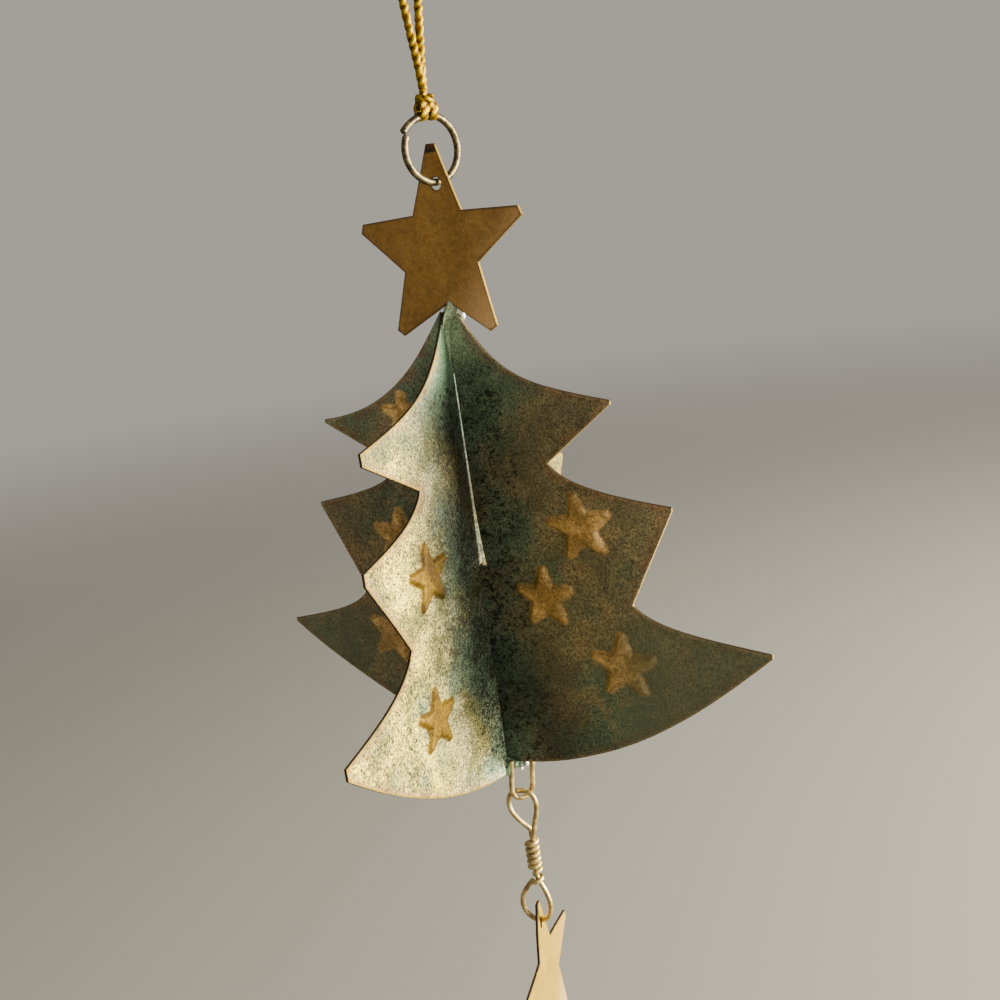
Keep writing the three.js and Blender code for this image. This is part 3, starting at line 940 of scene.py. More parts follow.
@dataclass
class JumpRing:
    """The open ring between the cord and the top star."""

    radius: float = 5.55
    wire: float = 1.25
    # In degrees: how far from its top it is split, the gap there, and how much of each end is bent off
    split: float = 62
    end_gap: float = 0.8
    spread_span: float = 45
    end_spread: float = 0.7
    end_tuck: float = 0.15
    unevenness: float = 0.03
    spacing: float = 0.18

    def build(self, finish: bpy.types.Material) -> None:
        """Builds the ring with its upper end sprung out past the lower one.

        Args:
            finish: its material.
        """
        first = -self.split + self.end_gap / 2
        last = 360 - self.split - self.end_gap / 2
        points = []
        for angle in np.linspace(first, last, 49):
            spread = max(0.0, 1 - (angle - first) / self.spread_span) ** 2
            tuck = max(0.0, 1 - (last - angle) / self.spread_span) ** 2
            up, out = polar(self.radius + self.end_spread * spread - self.end_tuck * tuck, angle)
            points.append((out, 0, up))
        route = smooth_route(turned(points, RING_TURN) + (0, 0, RING_CENTRE_Z), self.spacing)
        route = route + np.outer(self.unevenness * ripple(route, seed=5, wavelength=9), (0.4, -0.2, 0.3))
        ring = tube("ring", route, (self.wire / 2, self.wire / 2), 24, rounding=0.2)
        ring.finish("ring", "ring_wire", finish, ["top_ring"], 60)


def star_outline(
    reach: float, waist: float, tip: float, trims: Sequence[Triple] = ((0, 0, 0),) * 5
) -> np.ndarray:
    """Draws a star with clipped tips.

    Args:
        reach: from its middle to a tip.
        waist: from its middle to an inner corner.
        tip: width of a clipped tip.
        trims: how far each arm is off its reach, its angle in degrees and its inner corner.

    Returns:
        The corners, in order.
    """
    corners = []
    for i, (more, lean, deeper) in enumerate(trims):
        arm = 2 * math.pi * i / 5 + math.radians(lean)
        inner = 2 * math.pi * (i + 0.5) / 5
        for across in (-tip / 2, tip / 2):
            corners.append(
                (
                    (reach + more) * math.sin(arm) + across * math.cos(arm),
                    (reach + more) * math.cos(arm) - across * math.sin(arm),
                )
            )
        corners.append(((waist + deeper) * math.sin(inner), (waist + deeper) * math.cos(inner)))
    return np.array(corners)


def nearest_stretch(points: np.ndarray, loop: np.ndarray) -> tuple[np.ndarray, np.ndarray]:
    """Measures points against a closed outline.

    Args:
        points: two coordinates each.
        loop: the outline's corners, clockwise.

    Returns:
        How far each point is from it, and how far the nearest stretch of it faces right and not up.
    """
    best = np.full(len(points), FAR)
    facing = np.zeros(len(points))
    for start, end in zip(loop, np.roll(loop, -1, axis=0)):
        edge = end - start
        length = edge @ edge or 1.0
        share = np.clip(((points - start) @ edge) / length, 0, 1)
        away = points - start - share[:, None] * edge
        distance = np.einsum("ij,ij->i", away, away)
        closer = distance < best
        best[closer] = distance[closer]
        upward = max(0.0, edge[0] / math.sqrt(length))
        facing[closer] = -edge[1] / math.sqrt(length) - UPWARD_LOSS * upward
    return np.sqrt(best), facing


def outline_distance(points: np.ndarray, loop: np.ndarray) -> np.ndarray:
    """Returns how far each point is from a closed outline."""
    return nearest_stretch(points, loop)[0]


def inside(points: np.ndarray, loop: np.ndarray) -> np.ndarray:
    """Finds the points inside a closed outline.

    Args:
        points: two coordinates each.
        loop: the outline's corners.

    Returns:
        For each point, whether it is inside.
    """
    result = np.zeros(len(points), bool)
    ends = np.roll(loop, -1, axis=0)
    for (x0, y0), (x1, y1) in zip(loop, ends):
        if y0 == y1:
            continue
        crosses = (points[:, 1] < y0) != (points[:, 1] < y1)
        at = x0 + (points[:, 1] - y0) * (x1 - x0) / (y1 - y0)
        result ^= crosses & (points[:, 0] < at)
    return result


def finely_cut(loop: np.ndarray, spacing: float) -> np.ndarray:
    """Cuts the stretches of a closed outline into short ones.

    Args:
        loop: the outline's corners.
        spacing: the longest that a stretch may be.

    Returns:
        The outline's points.
    """
    points = []
    for start, end in zip(loop, np.roll(loop, -1, axis=0)):
        count = max(1, math.ceil(float(np.linalg.norm(end - start)) / spacing))
        points += [start + (end - start) * i / count for i in range(count)]
    return np.array(points)


def grid(low: np.ndarray, high: np.ndarray, spacing: float) -> np.ndarray:
    """Lays a triangular grid over a box.

    Args:
        low: the box's lowest corner.
        high: its highest corner.
        spacing: from point to point.

    Returns:
        The grid's points.
    """
    rows = []
    for i, y in enumerate(np.arange(low[1], high[1], spacing * ROW_STEP)):
        x = np.arange(low[0] + (i % 2) * spacing / 2, high[0], spacing)
        rows.append(np.column_stack([x, np.full(len(x), y)]))
    return np.vstack(rows)


@dataclass
class Sheet:
    """Cut sheet metal, with a fine net of points over both faces and a softened cut edge."""

    outline: np.ndarray
    holes: list[np.ndarray]
    thickness: float = 0.55
    softening: float = 0.08
    # The net: its spacing on the flat, along the cut and in a band beside it, and where that lies
    coarse: float = 1.7
    cut_spacing: float = 0.8
    band_spacing: float = 0.75
    band: Pair = (0.35, 2.4)
    edge_room: float = 0.3
    # How strong the painted highlight is on the cut edge where it faces the light, from 0 to 1
    painted_glint: float = 1.0

    def net(self, dense: Sequence[Quad]) -> tuple[np.ndarray, list]:
        """Covers the sheet with triangles.

        Args:
            dense: places that need a finer net, as x, y, radius and spacing.

        Returns:
            The points and the triangles.
        """
        loops = [finely_cut(loop, self.cut_spacing) for loop in (self.outline, *self.holes)]
        points = np.vstack([*loops, *self._rims(loops), self._fill(dense)])
        edges = []
        start = 0
        for loop in loops:
            count = len(loop)
            edges += [(start + i, start + (i + 1) % count) for i in range(count)]
            start += count
        result = delaunay_2d_cdt([Vector(point) for point in points], edges, [], 0, 1e-5, False)
        found = np.array([tuple(vert) for vert in result[0]])
        triangles = np.array([tuple(face) for face in result[2]])
        triangles = triangles[self._covers(found[triangles].mean(axis=1))]
        used = np.unique(triangles)
        renumber = np.full(len(found), -1)
        renumber[used] = np.arange(len(used))
        return found[used], renumber[triangles].tolist()

    def _rims(self, loops: Sequence[np.ndarray]) -> list[np.ndarray]:
        """Follows each cut a little inside, where its edge starts to soften.

        Args:
            loops: the points along each cut.

        Returns:
            The points beside each cut.
        """
        rims = []
        for loop in loops:
            ahead = np.roll(loop, -1, axis=0) - loop
            behind = loop - np.roll(loop, 1, axis=0)
            ahead /= np.linalg.norm(ahead, axis=1)[:, None]
            behind /= np.linalg.norm(behind, axis=1)[:, None]
            along = ahead + behind
            along /= np.linalg.norm(along, axis=1)[:, None] + 1e-9
            sideways = np.column_stack([-along[:, 1], along[:, 0]]) * self.softening
            rims += [moved[self._covers(moved)] for moved in (loop + sideways, loop - sideways)]
        return rims

    def _fill(self, dense: Sequence[Quad]) -> np.ndarray:
        """Fills the sheet with points, closer together in dense places and beside a cut.

        Args:
            dense: places that need a finer net, as x, y, radius and spacing.

        Returns:
            The points.
        """
        low = self.outline.min(0)
        high = self.outline.max(0)
        plain = grid(low, high, self.coarse)
        clear = np.ones(len(plain), bool)
        patches = []
        for x, y, radius, spacing in dense:
            clear &= np.hypot(plain[:, 0] - x, plain[:, 1] - y) > radius
            patch = grid(np.array((x, y)) - radius, np.array((x, y)) + radius, spacing)
            patches.append(patch[np.hypot(patch[:, 0] - x, patch[:, 1] - y) <= radius])
        band = grid(low, high, self.band_spacing)
        away = self._edge(band)
        band = band[(away > self.band[0]) & (away < self.band[1])]
        fill = np.vstack([plain[clear], *patches, band])
        fill = fill[self._covers(fill)]
        return fill[self._edge(fill) > self.edge_room]

    def _covers(self, points: np.ndarray) -> np.ndarray:
        """Finds the points that are on the sheet.

        Args:
            points: two coordinates each.

        Returns:
            For each point, whether it is on the sheet.
        """
        covered = inside(points, self.outline)
        for hole in self.holes:
            covered &= ~inside(points, hole)
        return covered

    def _edge(self, points: np.ndarray) -> np.ndarray:
        """Returns how far each point is from the nearest cut edge."""
        distances = [outline_distance(points, loop) for loop in (self.outline, *self.holes)]
        return np.minimum.reduce(distances)

    def mesh(
        self,
        name: str,
        shape: Callable[[np.ndarray], tuple[np.ndarray, np.ndarray]],
        marks: Callable[[np.ndarray], dict[str, np.ndarray]],
        dense: Sequence[Quad],
    ) -> Piece:
        """Makes both faces and the cut edge.

        Args:
            name: of the piece.
            shape: gives how far the raised face and the other face are moved towards the raised side.
            marks: gives what is kept at each point for the finish.
            dense: places that need a finer net, as x, y, radius and spacing.

        Returns:
            The piece, with X and Y as its outline and Z as its thickness.
        """
        flat, triangles = self.net(dense)
        edge = self._edge(flat)
        half = self.thickness / 2 - self.softening * (1 - np.clip(edge / self.softening, 0, 1))
        raised, sunk = shape(flat)
        front = np.column_stack([flat, -half - raised])
        back = np.column_stack([flat, half - sunk])
        count = len(flat)
        faces = [(c, b, a) for a, b, c in triangles]
        faces += [(a + count, b + count, c + count) for a, b, c in triangles]
        sides: dict[tuple[int, int], tuple[int, int]] = {}
        for a, b, c in triangles:
            for first, second in ((a, b), (b, c), (c, a)):
                key = (min(first, second), max(first, second))
                if key in sides:
                    del sides[key]
                else:
                    sides[key] = (first, second)
        faces += [(a, b, b + count, a + count) for a, b in sides.values()]
        kept = marks(flat)
        kept["snip"] = edge
        facing = nearest_stretch(flat, self.outline)[1]
        # The painted highlight on the cut edge where it faces right and not up, towards the main light
        kept["painted_glint"] = smoothstep(0.3, 0.75, facing) * self.painted_glint
        doubled = {key: np.concatenate([value, value]) for key, value in kept.items()}
        return Piece(name, np.vstack([front, back]), faces, doubled)


class StarPlace(Enum):
    """Where one of the two flat stars hangs."""

    TOP = "top"
    PENDANT = "pendant"


@dataclass
class FlatStar:
    """A star snipped from sheet, with a punched hole near the tip that it hangs by."""

    place: StarPlace
    # As in star_outline
    trims: tuple[Triple, ...]
    middle_x: float
    middle_z: float
    turn: float
    hole_height: float
    hole_offset: float
    body: str
    node: str
    seed: int
    reach: float = 17.3
    waist: float = 8.1
    tip: float = 1.7
    hole_radius: float = 1.1
    hole_net: Pair = (2, 0.3)
    bend_height: float = 0.12
    burr_height: float = 0.1

    def build(self, finish: bpy.types.Material) -> None:
        """Builds the star and stands it in its place.

        Args:
            finish: its material.
        """
        is_top = self.place is StarPlace.TOP
        hole = (self.hole_offset, self.hole_height)
        rim = np.array([polar(self.hole_radius, angle) for angle in range(0, 360, 10)]) + hole
        outline = star_outline(self.reach, self.waist, self.tip, self.trims)
        sheet = Sheet(outline, [rim], coarse=1.2)

        def from_hole(flat: np.ndarray) -> np.ndarray:
            """Returns how far each point is from the hole's edge."""
            return np.hypot(*(flat - hole).T) - self.hole_radius

        def shape(flat: np.ndarray) -> tuple[np.ndarray, np.ndarray]:
            """Bends the sheet a little and turns up the burr of the hole.

            Args:
                flat: points on the sheet.

            Returns:
                How far the raised face and the other face are moved.
            """
            bend = self.bend_height * ripple(flat, self.seed, wavelength=26)
            burr = self.burr_height * (1 - smoothstep(0, 0.5, from_hole(flat)))
            return bend + burr, bend + burr * 0.6

        def marks(flat: np.ndarray) -> dict[str, np.ndarray]:
            """Marks the scorched tip and hole, the way from the edge and the arms that are rubbed.

            Args:
                flat: points on the sheet.

            Returns:
                The marks.
            """
            scorch = 0.5 * (1 - smoothstep(0, 0.6, from_hole(flat)))
            if is_top:
                scorch = np.maximum(scorch, smoothstep(self.reach - 1.2, self.reach + 0.4, flat[:, 1]))
            return {
                "scorch": scorch,
                "edge": outline_distance(flat, outline),
                "rubbed": smoothstep(4, 15, 0.75 * flat[:, 0] - 0.6 * flat[:, 1]),
            }

        star = sheet.mesh(f"{self.place.value}_star_sheet", shape, marks, [(*hole, *self.hole_net)])
        out, up, through = star.points.T
        upright = np.column_stack([out, through, up])
        star.points = turned(upright, self.turn) + (self.middle_x, 0, self.middle_z)
        star.finish(self.body, "star_sheet", finish, [self.node], 35)


@dataclass(frozen=True)
class Vane:
    """One vane of a plate. Points are out from the axis and down from the apex."""

    apex: Pair
    # Two handles of the edge from the apex to the first tip, as shares of the way
    sweep: tuple[Pair, Pair]
    tips: tuple[Pair, ...]
    notches: tuple[Pair, ...]
    tip_width: float
    foot_sweep: tuple[Pair, Pair]
    # Two handles of the edge from a notch to the next tip, as shares of the way
    lower_sweep: tuple[Pair, Pair] = ((0.13, 0.58), (0.6, 0.8))

    def cut(self, side: int, foot: float) -> list[Pair]:
        """Draws the vane from the apex round to the foot of the axis.

        Args:
            side: 1 or -1.
            foot: how far down the foot is at the axis.

        Returns:
            Its points, out and up.
        """
        points = [self.apex]
        start = np.array(self.apex)
        for i, tip in enumerate(self.tips):
            end = np.array(tip)
            sweep = self.sweep if i == 0 else self.lower_sweep
            handles = [start + (end - start) * np.array(share) for share in sweep]
            points += self._curve(start, handles[0], handles[1], end)
            points.append((tip[0], tip[1] + self.tip_width))
            if i < len(self.notches):
                points.append(self.notches[i])
                start = np.array(self.notches[i])
        last = np.array(points[-1])
        points += self._curve(last, *(np.array(p) for p in self.foot_sweep), np.array((0.0, foot)))
        return [(side * out, -down) for out, down in points]

    @staticmethod
    def _curve(start: np.ndarray, one: np.ndarray, two: np.ndarray, end: np.ndarray) -> list:
        """Draws a curve with two handles.

        Args:
            start: where it starts.
            one: its first handle.
            two: its second handle.
            end: where it ends.

        Returns:
            Its points, without its start.
        """
        t = np.linspace(0, 1, 29)[1:, None]
        curve = (1 - t) ** 3 * start + 3 * (1 - t) ** 2 * t * one + 3 * (1 - t) * t * t * two + t**3 * end
        return [tuple(point) for point in curve]


# Handles of a vane's upper edge, as shares of the way from the apex out and down to its first tip
WIDE = ((0.25, 0.73), (0.42, 0.81))
STEEP = ((0.2, 0.4), (0.42, 0.93))


class Standing(Enum):
    """Which way a plate stands."""

    SIDE = "side"
    FRONT = "front"


@dataclass
class TreePlate:
    """One of the two plates that make the tree, with its slot and its pressed stars."""

    standing: Standing
    positive: Vane
    negative: Vane
    foot: float
    # Out, down, turn in degrees, and size
    stars: tuple[Quad, ...]
    slot: tuple[Pair, ...]
    seed: int
    crease: Quad | None = None
    relief_reach: float = 6.3
    relief_waist: float = 2.8
    relief_tip: float = 0.9
    relief_height: float = 0.75
    rounding: float = 0.45
    # The height and the length of the sheet's waves, of its small waves and of the gold's ragged edge
    wave: Pair = (0.22, 44)
    small_wave: Pair = (0.03, 9)
    ragged: Pair = (0.16, 2.2)
    # Up to how many reaches from its middle a star is measured, and what stands for further off
    measured_to: float = 1.4
    further_off: float = 9.0
    # Up to how many reaches from its middle a star's net is finer, and how fine
    finer_to: float = 1.16
    star_spacing: float = 0.3
    # For the raised face and the other one: the height's share, the stars' shoulder and inset, and the
    # crease's depth
    relief_share: Pair = (1.0, 0.9)
    shoulder: Pair = (0.75, 0.6)
    inset: Pair = (0, 0.3)
    crease_depth: Pair = (0.12, 0.1)

    def outline(self) -> np.ndarray:
        """Draws the cut outline with its slot.

        Returns:
            The outline's points, out and up.
        """
        right, left = self._halves()
        if self.standing is Standing.SIDE:
            return np.array([*self.slot, *right, *left])
        return np.array([*right[:-1], *self.slot, *left])

    def _halves(self) -> tuple[list[Pair], list[Pair]]:
        """Returns the right vane's cut from the apex to the foot, and the left one's back to the apex."""
        return self.positive.cut(1, self.foot), self.negative.cut(-1, self.foot)[::-1][1:]

    def stamped(self, flat: np.ndarray, inset: float, soft: float) -> tuple[np.ndarray, np.ndarray]:
        """Measures the pressed stars.

        Args:
            flat: points on the plate.
            inset: how much smaller the outline is taken.
            soft: how wide the shoulder is.

        Returns:
            The height, from 0 to 1, and the distance outside the nearest star.
        """
        height = np.zeros(len(flat))
        outside = np.full(len(flat), self.further_off)
        for out, down, turn, size in self.stars:
            loop = star_outline(
                self.relief_reach * size - inset - self.rounding,
                self.relief_waist * size - inset - self.rounding * 0.5,
                self.relief_tip * 0.6,
            )
            cosine, sine = polar(1, -turn)
            spun = loop @ np.array([[cosine, sine], [-sine, cosine]]) + (out, -down)
            close = np.hypot(flat[:, 0] - out, flat[:, 1] + down) < self.relief_reach * self.measured_to
            distance = outline_distance(flat[close], spun)
            signed = np.where(inside(flat[close], spun), -distance, distance) - self.rounding
            rise = 1 - smoothstep(-soft, soft * 0.35, signed)
            height[close] = np.maximum(height[close], rise)
            outside[close] = np.minimum(outside[close], signed)
        return height, outside

    def build(self, finish: bpy.types.Material) -> None:
        """Builds the plate and stands it in its place.

        Args:
            finish: its material.
        """
        is_side = self.standing is Standing.SIDE
        middle = CROSSING_SHIFT if is_side else 0.0
        sheet = Sheet(self.outline(), [], painted_glint=1.0 if is_side else 0.0)

        def shape(flat: np.ndarray) -> tuple[np.ndarray, np.ndarray]:
            """Presses the stars and bends the sheet a little, away from the crossing.

            Args:
                flat: points on the sheet.

            Returns:
                How far the raised face and the other face are moved.
            """
            free = smoothstep(3, 16, np.abs(flat[:, 0] - middle))
            height, length = self.wave
            bend = height * free * ripple(flat, self.seed, length)
            height, length = self.small_wave
            bend = bend + height * free * ripple(flat, self.seed + 1, length)
            raised, _ = self.stamped(flat, self.inset[0], self.shoulder[0])
            sunk, _ = self.stamped(flat, self.inset[1], self.shoulder[1])
            groove = self._groove(flat)
            return (
                bend + self.relief_height * self.relief_share[0] * raised - self.crease_depth[0] * groove,
                bend + self.relief_height * self.relief_share[1] * sunk - self.crease_depth[1] * groove,
            )

        def marks(flat: np.ndarray) -> dict[str, np.ndarray]:
            """Marks the gold of the stars, a little past their foot, and the way from the cut edge.

            Args:
                flat: points on the sheet.

            Returns:
                The marks.
            """
            _, outside = self.stamped(flat, self.inset[0], self.shoulder[0])
            ragged = self.ragged[0] * ripple(flat, self.seed + 3, self.ragged[1])
            right, left = self._halves()
            unslotted = np.array([*right, *left])
            near_axis = 6 * (1 - smoothstep(1, 4, np.abs(flat[:, 0] - middle)))
            return {
                "star": 1 - smoothstep(-0.05, 0.4, outside + ragged),
                "edge": outline_distance(flat, unslotted) + near_axis,
            }

        dense = [
            (out, -down, self.relief_reach * size * self.finer_to, self.star_spacing)
            for out, down, _, size in self.stars
        ]
        plate = sheet.mesh(f"{self.standing.value}_vanes", shape, marks, dense)
        out, up, through = plate.points.T
        if is_side:
            plate.points = np.column_stack([TREE_X + out, through, APEX_Z + up])
        else:
            plate.points = np.column_stack([CROSSING_X - through, out, APEX_Z + up])
        plate.finish("tree", "patina_sheet", finish, [f"{self.standing.value}_plate"], 35)

    def _groove(self, flat: np.ndarray) -> np.ndarray:
        """Measures the crease.

        Args:
            flat: points on the sheet.

        Returns:
            Its share at each point, from 0 to 1.
        """
        if self.crease is None:
            return np.zeros(len(flat))
        line = np.array([self.crease[:2], self.crease[2:]])
        return 1 - smoothstep(0, 0.5, outline_distance(flat, line))


@dataclass
class SolderJoints:
    """The solder that holds the star and the plates, and the solder under the foot."""

    apex_rise: float = 1.0
    apex_run: float = 12.0
    apex_half: float = 0.3
    apex_levels: int = 40
    arc_points: int = 9
    # The top's rounding: its share at the very top and how far down it ends
    cap_share: float = 0.12
    cap_run: float = 2.6
    least_fillet: float = 0.08
    # What stands for its distance from a cut edge
    off_edge: float = 4.0
    # How wide the fillet is in each corner, from the back right one round by the left
    corners: tuple[float, ...] = (1.5, 0.7, 0.8, 1.9)
    # The middle and the radius of each round lump that the foot's solder melts from, and of each drop
    lumps: tuple[Quad, ...] = (
        (-2.3, 0.0, -150.3, 0.75),
        (-1.7, -0.75, -150.9, 0.7),
        (-1.75, -1.15, -151.6, 0.72),
        (-1.8, -1.3, -152.3, 0.66),
        (-1.2, 0.1, -150.35, 0.6),
        (-0.2, 0.5, -150.2, 0.6),
        (0.7, 0.9, -149.9, 0.75),
        (0.95, 1.25, -149.2, 0.8),
        (-2.9, 0.6, -150.8, 0.6),
        (-0.7, -0.3, -151.0, 0.68),
        (0.3, 0.2, -151.1, 0.62),
    )
    beads: tuple[Quad, ...] = ((0.3, 0.0, -151.8, 0.45), (1.3, 0.5, -150.9, 0.5))
    lump_height: float = 1.15
    melt_voxel: float = 0.12
    melt_rounds: int = 8
    melt_share: float = 0.6
    # The bright bead's middle and its reach along each axis
    bead_middle: Point = (TREE_X + 1.9, 0.45, APEX_Z - 1.9)
    bead_reach: Triple = (0.55, 0.5, 0.75)

    def apex(self, finish: bpy.types.Material) -> None:
        """Builds the hollow fillets between the vanes under the star's notch.

        Args:
            finish: its material.
        """
        rings = []
        for level in np.linspace(0, 1, self.apex_levels):
            down = level * (self.apex_run + self.apex_rise) - self.apex_rise
            cap = math.sqrt(min(1.0, self.cap_share + (down + self.apex_rise) / self.cap_run))
            fade = (1 - max(0.0, down) / self.apex_run) ** 2
            shift = CROSSING_SHIFT * float(smoothstep(-1, 4, np.array(down)))
            for quadrant, corner in enumerate(self.corners):
                fillet = (self.least_fillet + corner * fade) * cap
                reach = self.apex_half * cap + fillet
                arc = [polar(fillet, angle) for angle in np.linspace(-90, -180, self.arc_points)]
                hollow = turned([(reach + x, reach + y, -down) for x, y in arc], 90 * quadrant)
                rings.append(hollow + (TREE_X + shift, 0, APEX_Z))
        points = roughened(np.vstack(rings), amount=0.05, seed=3, wavelength=3.1)
        faces = skin(self.apex_levels, self.arc_points * len(self.corners))
        far = np.full(len(points), self.off_edge)
        none = np.zeros(len(points))
        marks = {"edge": far, "snip": far, "star": none, "painted_glint": none}
        Piece("apex_solder", points, faces, marks).finish("tree", "solder", finish, ["star_solder"], 50)

    def bead(self, finish: bpy.types.Material) -> None:
        """Builds the bright bead of solder behind the right vane's top.

        Args:
            finish: its material.
        """
        work = bmesh.new()
        self._lump(work, self.bead_middle, self.bead_reach)
        points = np.array([tuple(vert.co) for vert in work.verts])
        faces = [tuple(vert.index for vert in face.verts) for face in work.faces]
        work.free()
        points = roughened(points, amount=0.08, seed=31, wavelength=1.4)
        Piece("bright_bead", points, faces, {}).finish("tree", "solder", finish, [], 180)

    def foot(self, finish: bpy.types.Material) -> None:
        """Builds the solder that melted round the foot of the crossing and the legs of the wire loop."""
        self._melt("foot_run", self.lumps, finish, ["foot_solder"])

    def drops(self, finish: bpy.types.Material) -> None:
        """Builds the bright drops on the foot's solder."""
        self._melt("foot_drops", self.beads, finish, [])

    @staticmethod
    def _lump(work: bmesh.types.BMesh, middle: Point, reach: Triple) -> None:
        """Adds a round lump.

        Args:
            work: the mesh that it is added to.
            middle: of the lump.
            reach: how far it reaches along each axis.
        """
        matrix = Matrix.Translation(middle) @ Matrix.Diagonal((*reach, 1))
        bmesh.ops.create_icosphere(work, subdivisions=3, radius=1, matrix=matrix)
        work.verts.ensure_lookup_table()

    def _melt(
        self, name: str, lumps: Sequence[Quad], finish: bpy.types.Material, nodes: Sequence[str]
    ) -> None:
        """Melts round lumps into one.

        Args:
            name: of the piece.
            lumps: the middle and the radius of each.
            finish: its material.
            nodes: the solids that it stands for.
        """
        work = bmesh.new()
        for x, y, z, radius in lumps:
            self._lump(work, (x, y, z), (radius, radius, radius * self.lump_height))
        mesh = bpy.data.meshes.new(name)
        work.to_mesh(mesh)
        work.free()
        source = placed(name, mesh)
        remesh = source.modifiers.new("melt", "REMESH")
        remesh.mode = "VOXEL"
        remesh.voxel_size = self.melt_voxel
        smooth = source.modifiers.new("flow", "SMOOTH")
        smooth.iterations = self.melt_rounds
        smooth.factor = self.melt_share
        melted = bpy.data.meshes.new_from_object(
            source.evaluated_get(bpy.context.evaluated_depsgraph_get())
        )
        points = np.array([tuple(vert.co) for vert in melted.vertices])
        faces = [tuple(polygon.vertices) for polygon in melted.polygons]
        bpy.data.objects.remove(source)
        bpy.data.meshes.remove(mesh)
        bpy.data.meshes.remove(melted)
        points = roughened(points, amount=0.06, seed=7, wavelength=1.6)
        Piece(name, points, faces, {}).finish("tree", "solder", finish, nodes, 180)


@dataclass
class FootLoop:
    """The narrow U of wire under the tree."""

    wire: float = 1.0
    width: float = 4.4
    drop: float = 8.0
    short_leg: float = 8.2
    long_leg: float = 10.6
    draw_in: float = 1.5
    # In degrees
    turn: float = 52
    lean: float = 7
    spacing: float = 0.18

    def build(self, finish: bpy.types.Material) -> None:
        """Builds the loop, one leg up in the corner of the plates and one ending at their foot.

        Args:
            finish: its material.
        """
        half = self.width / 2
        bend = [polar(half, angle) for angle in range(180, 361, 30)]
        outline = [
            (-half, self.short_leg),
            (-half, (self.short_leg + half) / 2),
            *((out, half + up) for out, up in bend),
            (half, (self.drop + half) / 2),
            (half, self.drop - 0.6),
            (half - self.draw_in * 0.5, (self.drop + self.long_leg) / 2),
            (half - self.draw_in, self.long_leg),
        ]
        cosine, sine = polar(1, self.lean)
        leaned = [(out * cosine + up * sine, 0, up * cosine - out * sine) for out, up in outline]
        route = smooth_route(turned(leaned, self.turn) + (LOOP_X, 0, FOOT_LOOP_Z), self.spacing)
        loop = tube("foot_loop_wire", route, (self.wire / 2, self.wire / 2), 20, rounding=0.25)
        loop.finish("tree", "brass_wire", finish, ["foot_loop"], 60)


@dataclass
class TwistedLink:
    """One wire with an eye at each end and its ends wound tightly round the shank."""

    wire: float = 1.0
    shank_x: float = 0.65
    wind_radius: float = 1.0
    wind_pitch: float = 1.24
    wind_points: int = 12
    # How far down each winding's foot is, its turns, and the angle at its top in degrees
    upper_winding: Triple = (17.3, 5.5, 108)
    lower_winding: Triple = (19.7, 0.95, 522)
    spacing: float = 0.14
    # Across, back and down from the top of the upper eye
    upper_eye: tuple[Point, ...] = (
        (0.2, 0.9, 8.8),
        (-0.9, 0.4, 7.4),
        (-1.9, 0.1, 6.2),
        (-3.0, 0, 4.6),
        (-3.25, 0, 2.8),
        (-2.6, 0, 1.1),
        (-1.1, 0, 0.1),
        (0.9, 0, -0.1),
        (2.3, 0, 0.7),
        (2.85, 0, 2.3),
        (2.65, 0, 4.2),
        (2.05, 0, 6.2),
        (1.5, 0, 8.4),
        (1.0, 0, 10.1),
    )
    lower_eye: tuple[Point, ...] = (
        (1.2, 0, 19.6),
        (2.2, 0, 21.6),
        (2.9, 0, 24.0),
        (2.7, 0, 26.3),
        (1.6, 0, 28.0),
        (-0.3, 0, 28.7),
        (-2.2, 0, 28.0),
        (-3.3, 0, 26.2),
        (-3.2, 0, 24.0),
        (-1.9, -0.2, 21.7),
    )
    shank: tuple[float, ...] = (12.2, 14.2, 16.2, 17.8)

    def route(self) -> list[Point]:
        """Leads the wire from one wound end through both eyes to the other.

        Returns:
            The points that it passes through.
        """
        upper = self._winding(*self.upper_winding)
        lower = self._winding(*self.lower_winding)
        shank = [(self.shank_x, 0, down) for down in self.shank]
        loops = [*self.upper_eye, *shank, *self.lower_eye]
        return [*upper, *((across, back, -down) for across, back, down in loops), *lower]

    def _winding(self, lowest: float, turns: float, end: float) -> list[Point]:
        """Winds the wire round the shank.

        Args:
            lowest: how far down the winding's foot is.
            turns: how many there are.
            end: the angle at the winding's top, in degrees.

        Returns:
            The points from the foot to the top.
        """
        count = round(turns * self.wind_points)
        points = []
        for i in range(count + 1):
            across, back = polar(self.wind_radius, end - 360 * (count - i) / self.wind_points)
            up = self.wind_pitch * i / self.wind_points - lowest
            points.append((self.shank_x + across, back, up))
        return points

    def build(self, finish: bpy.types.Material) -> None:
        """Builds the link as one unbroken wire.

        Args:
            finish: its material.
        """
        route = smooth_route(self.route(), self.spacing) + (LOOP_X, 0, LINK_TOP_Z)
        link = tube("link_wire", route, (self.wire / 2, self.wire / 2), 18, rounding=0.25)
        link.finish("link", "brass_wire", finish, ["twisted_link"], 60)


@dataclass(frozen=True)
class SoftLight:
    """A square light that faces the ornament, from a turn and a height in degrees."""

    name: str
    turn: float
    height: float
    distance: float
    size: float
    power: float
    colour: Colour

    def hang(self, aim: Vector) -> None:
        """Hangs the light and turns it to what it lights.

        Args:
            aim: the point that it faces, in metres.
        """
        data = bpy.data.lights.new(self.name, "AREA")
        data.shape = "SQUARE"
        data.size = self.size
        data.energy = self.power
        data.color = self.colour
        light = placed(self.name, data)
        level, up = polar(1, self.height)
        away = Vector((*polar(level, self.turn), up))
        light.location = aim + away * self.distance
        light.rotation_euler = away.to_track_quat("Z", "Y").to_euler()


